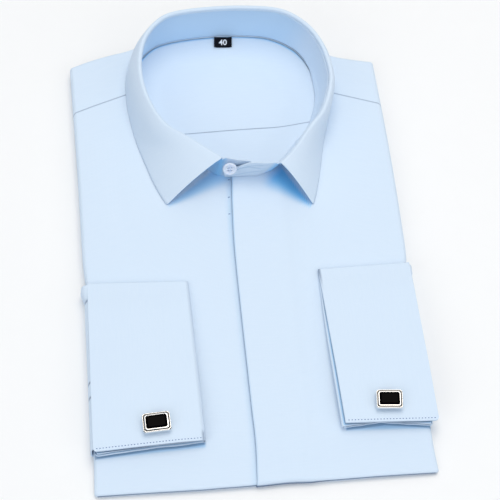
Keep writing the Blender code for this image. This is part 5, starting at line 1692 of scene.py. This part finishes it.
sheetFacts = [
    (frontRight, (0.150, 0.330), "folded", [foldedLayers], None),
    (frontLeft, (0.150, 0.330), "folded", [frontRight, foldedLayers], 0.0440),
    (yokeOuter, (0.270, 0.110), "folded", [foldedLayers], 0.0100),
    (yokeInner, (0.130, 0.086), "laid", [foldedLayers], None),
    (backPanel, (0.110, 0.042), "laid", [foldedLayers], None),
    (collarStand, (0.430, 0.026), "folded", [yokeOuter], None),
    (collarLeaf, (0.440, 0.045), "folded", [collarStand], None),
    (cuffPieces["left"], (0.245, 0.130), "folded", [frontLeft], None),
    (cuffPieces["right"], (0.245, 0.140), "folded", [frontRight], None),
    (sleevePieces["left"], (0.118, 0.021), "folded", [frontLeft], None),
    (sleevePieces["right"], (0.118, 0.024), "folded", [frontRight], None),
    (sizeLabel, (0.0144, 0.0104), "laid", [yokeInner], None),
]
for piece, flat, held, under, area in sheetFacts:
    mesh = piece.data
    half = 0.5 * sum(f.area for f in mesh.polygons)
    print("cloth", piece.name, "half surface", round(half, 5), "flat", round(flat[0] * flat[1], 5),
          "share", round(half / (flat[0] * flat[1]), 3),
          "triangles", sum(len(f.vertices) - 2 for f in mesh.polygons))
    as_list(under)


studio = {
    "floorSize": 6.0,
    "floorDrop": 0.0004,
    "paper": ((0.945, 0.945, 0.945), (0.960, 0.960, 0.960)),
    "sky": (0.855, 0.945, 1.055),
    "skyStrength": 0.60,
    "horizon": 0.26,           # share of the sky's strength at the horizon
    "skyRise": (0.05, 0.48),   # heights between which it grows
    "lights": [  # name, place, size, power, colour
        ("keySoftbox", (0.30, 0.55, 2.7), 2.0, 35.4, (1.0, 0.90, 0.77)),
        ("leftFill", (-1.2, -1.3, 1.2), 1.6, 6.0, (0.96, 0.98, 1.0)),
        ("rightFill", (1.2, -1.3, 1.2), 1.6, 5.5, (0.96, 0.98, 1.0))],
}


def makeFloor():
    paper = grainMaterial("studioPaper", *studio["paper"], 0.9, 60.0, height=0.0001)
    return startPart(bpy.ops.mesh.primitive_plane_add, "studioFloor", paper, size=studio["floorSize"],
                     location=(0, 0, -studio["floorDrop"]))


def addLight(name, at, size, power, colour):
    lamp = bpy.data.lights.new(name, "AREA")
    lamp.shape, lamp.size, lamp.energy, lamp.color = "DISK", size, power, colour
    light = bpy.data.objects.new(name, lamp)
    light.location = at
    light.rotation_mode = "QUATERNION"
    light.rotation_quaternion = Vector(at).to_track_quat("Z", "Y")
    bpy.context.collection.objects.link(light)


def makeWorld():
    world = bpy.data.worlds.new("studioSky")
    bpy.context.scene.world = world
    world.use_nodes = True
    tree, background = world.node_tree, world.node_tree.nodes["Background"]
    low, high = studio["skyRise"]
    place, split = addNode(tree, "TexCoord"), addNode(tree, "SeparateXYZ")
    rise = addNode(tree, "MapRange",
                   {"From Min": low, "From Max": high, "To Min": studio["skyStrength"] * studio["horizon"],
                                      "To Max": studio["skyStrength"]})
    addLinks(tree, (place, "Generated", split, "Vector"), (split, "Z", rise, "Value"),
             (rise, "Result", background, "Strength"))
    background.inputs["Color"].default_value = (*studio["sky"], 1.0)


floor = makeFloor()
makeWorld()
for light in studio["lights"]:
    addLight(*light)

view = {"target": (0.00412, -0.02025, 0.020), "azimuth": math.radians(-5), "elevation": math.radians(61),
        "distance": 1.1, "lens": 111.6}
cameraData = bpy.data.cameras.new("studioCamera")
cameraData.lens, cameraData.sensor_width = view["lens"], 36.0
camera = bpy.data.objects.new("studioCamera", cameraData)
bpy.context.collection.objects.link(camera)
back = Vector((math.sin(view["azimuth"]) * math.cos(view["elevation"]),
               -math.cos(view["azimuth"]) * math.cos(view["elevation"]), math.sin(view["elevation"])))
camera.location = Vector(view["target"]) + back * view["distance"]
camera.rotation_mode = "QUATERNION"
camera.rotation_quaternion = back.to_track_quat("Z", "Y")
bpy.context.scene.camera = camera
bpy.context.scene.view_settings.view_transform = "Standard"
print("stage made")
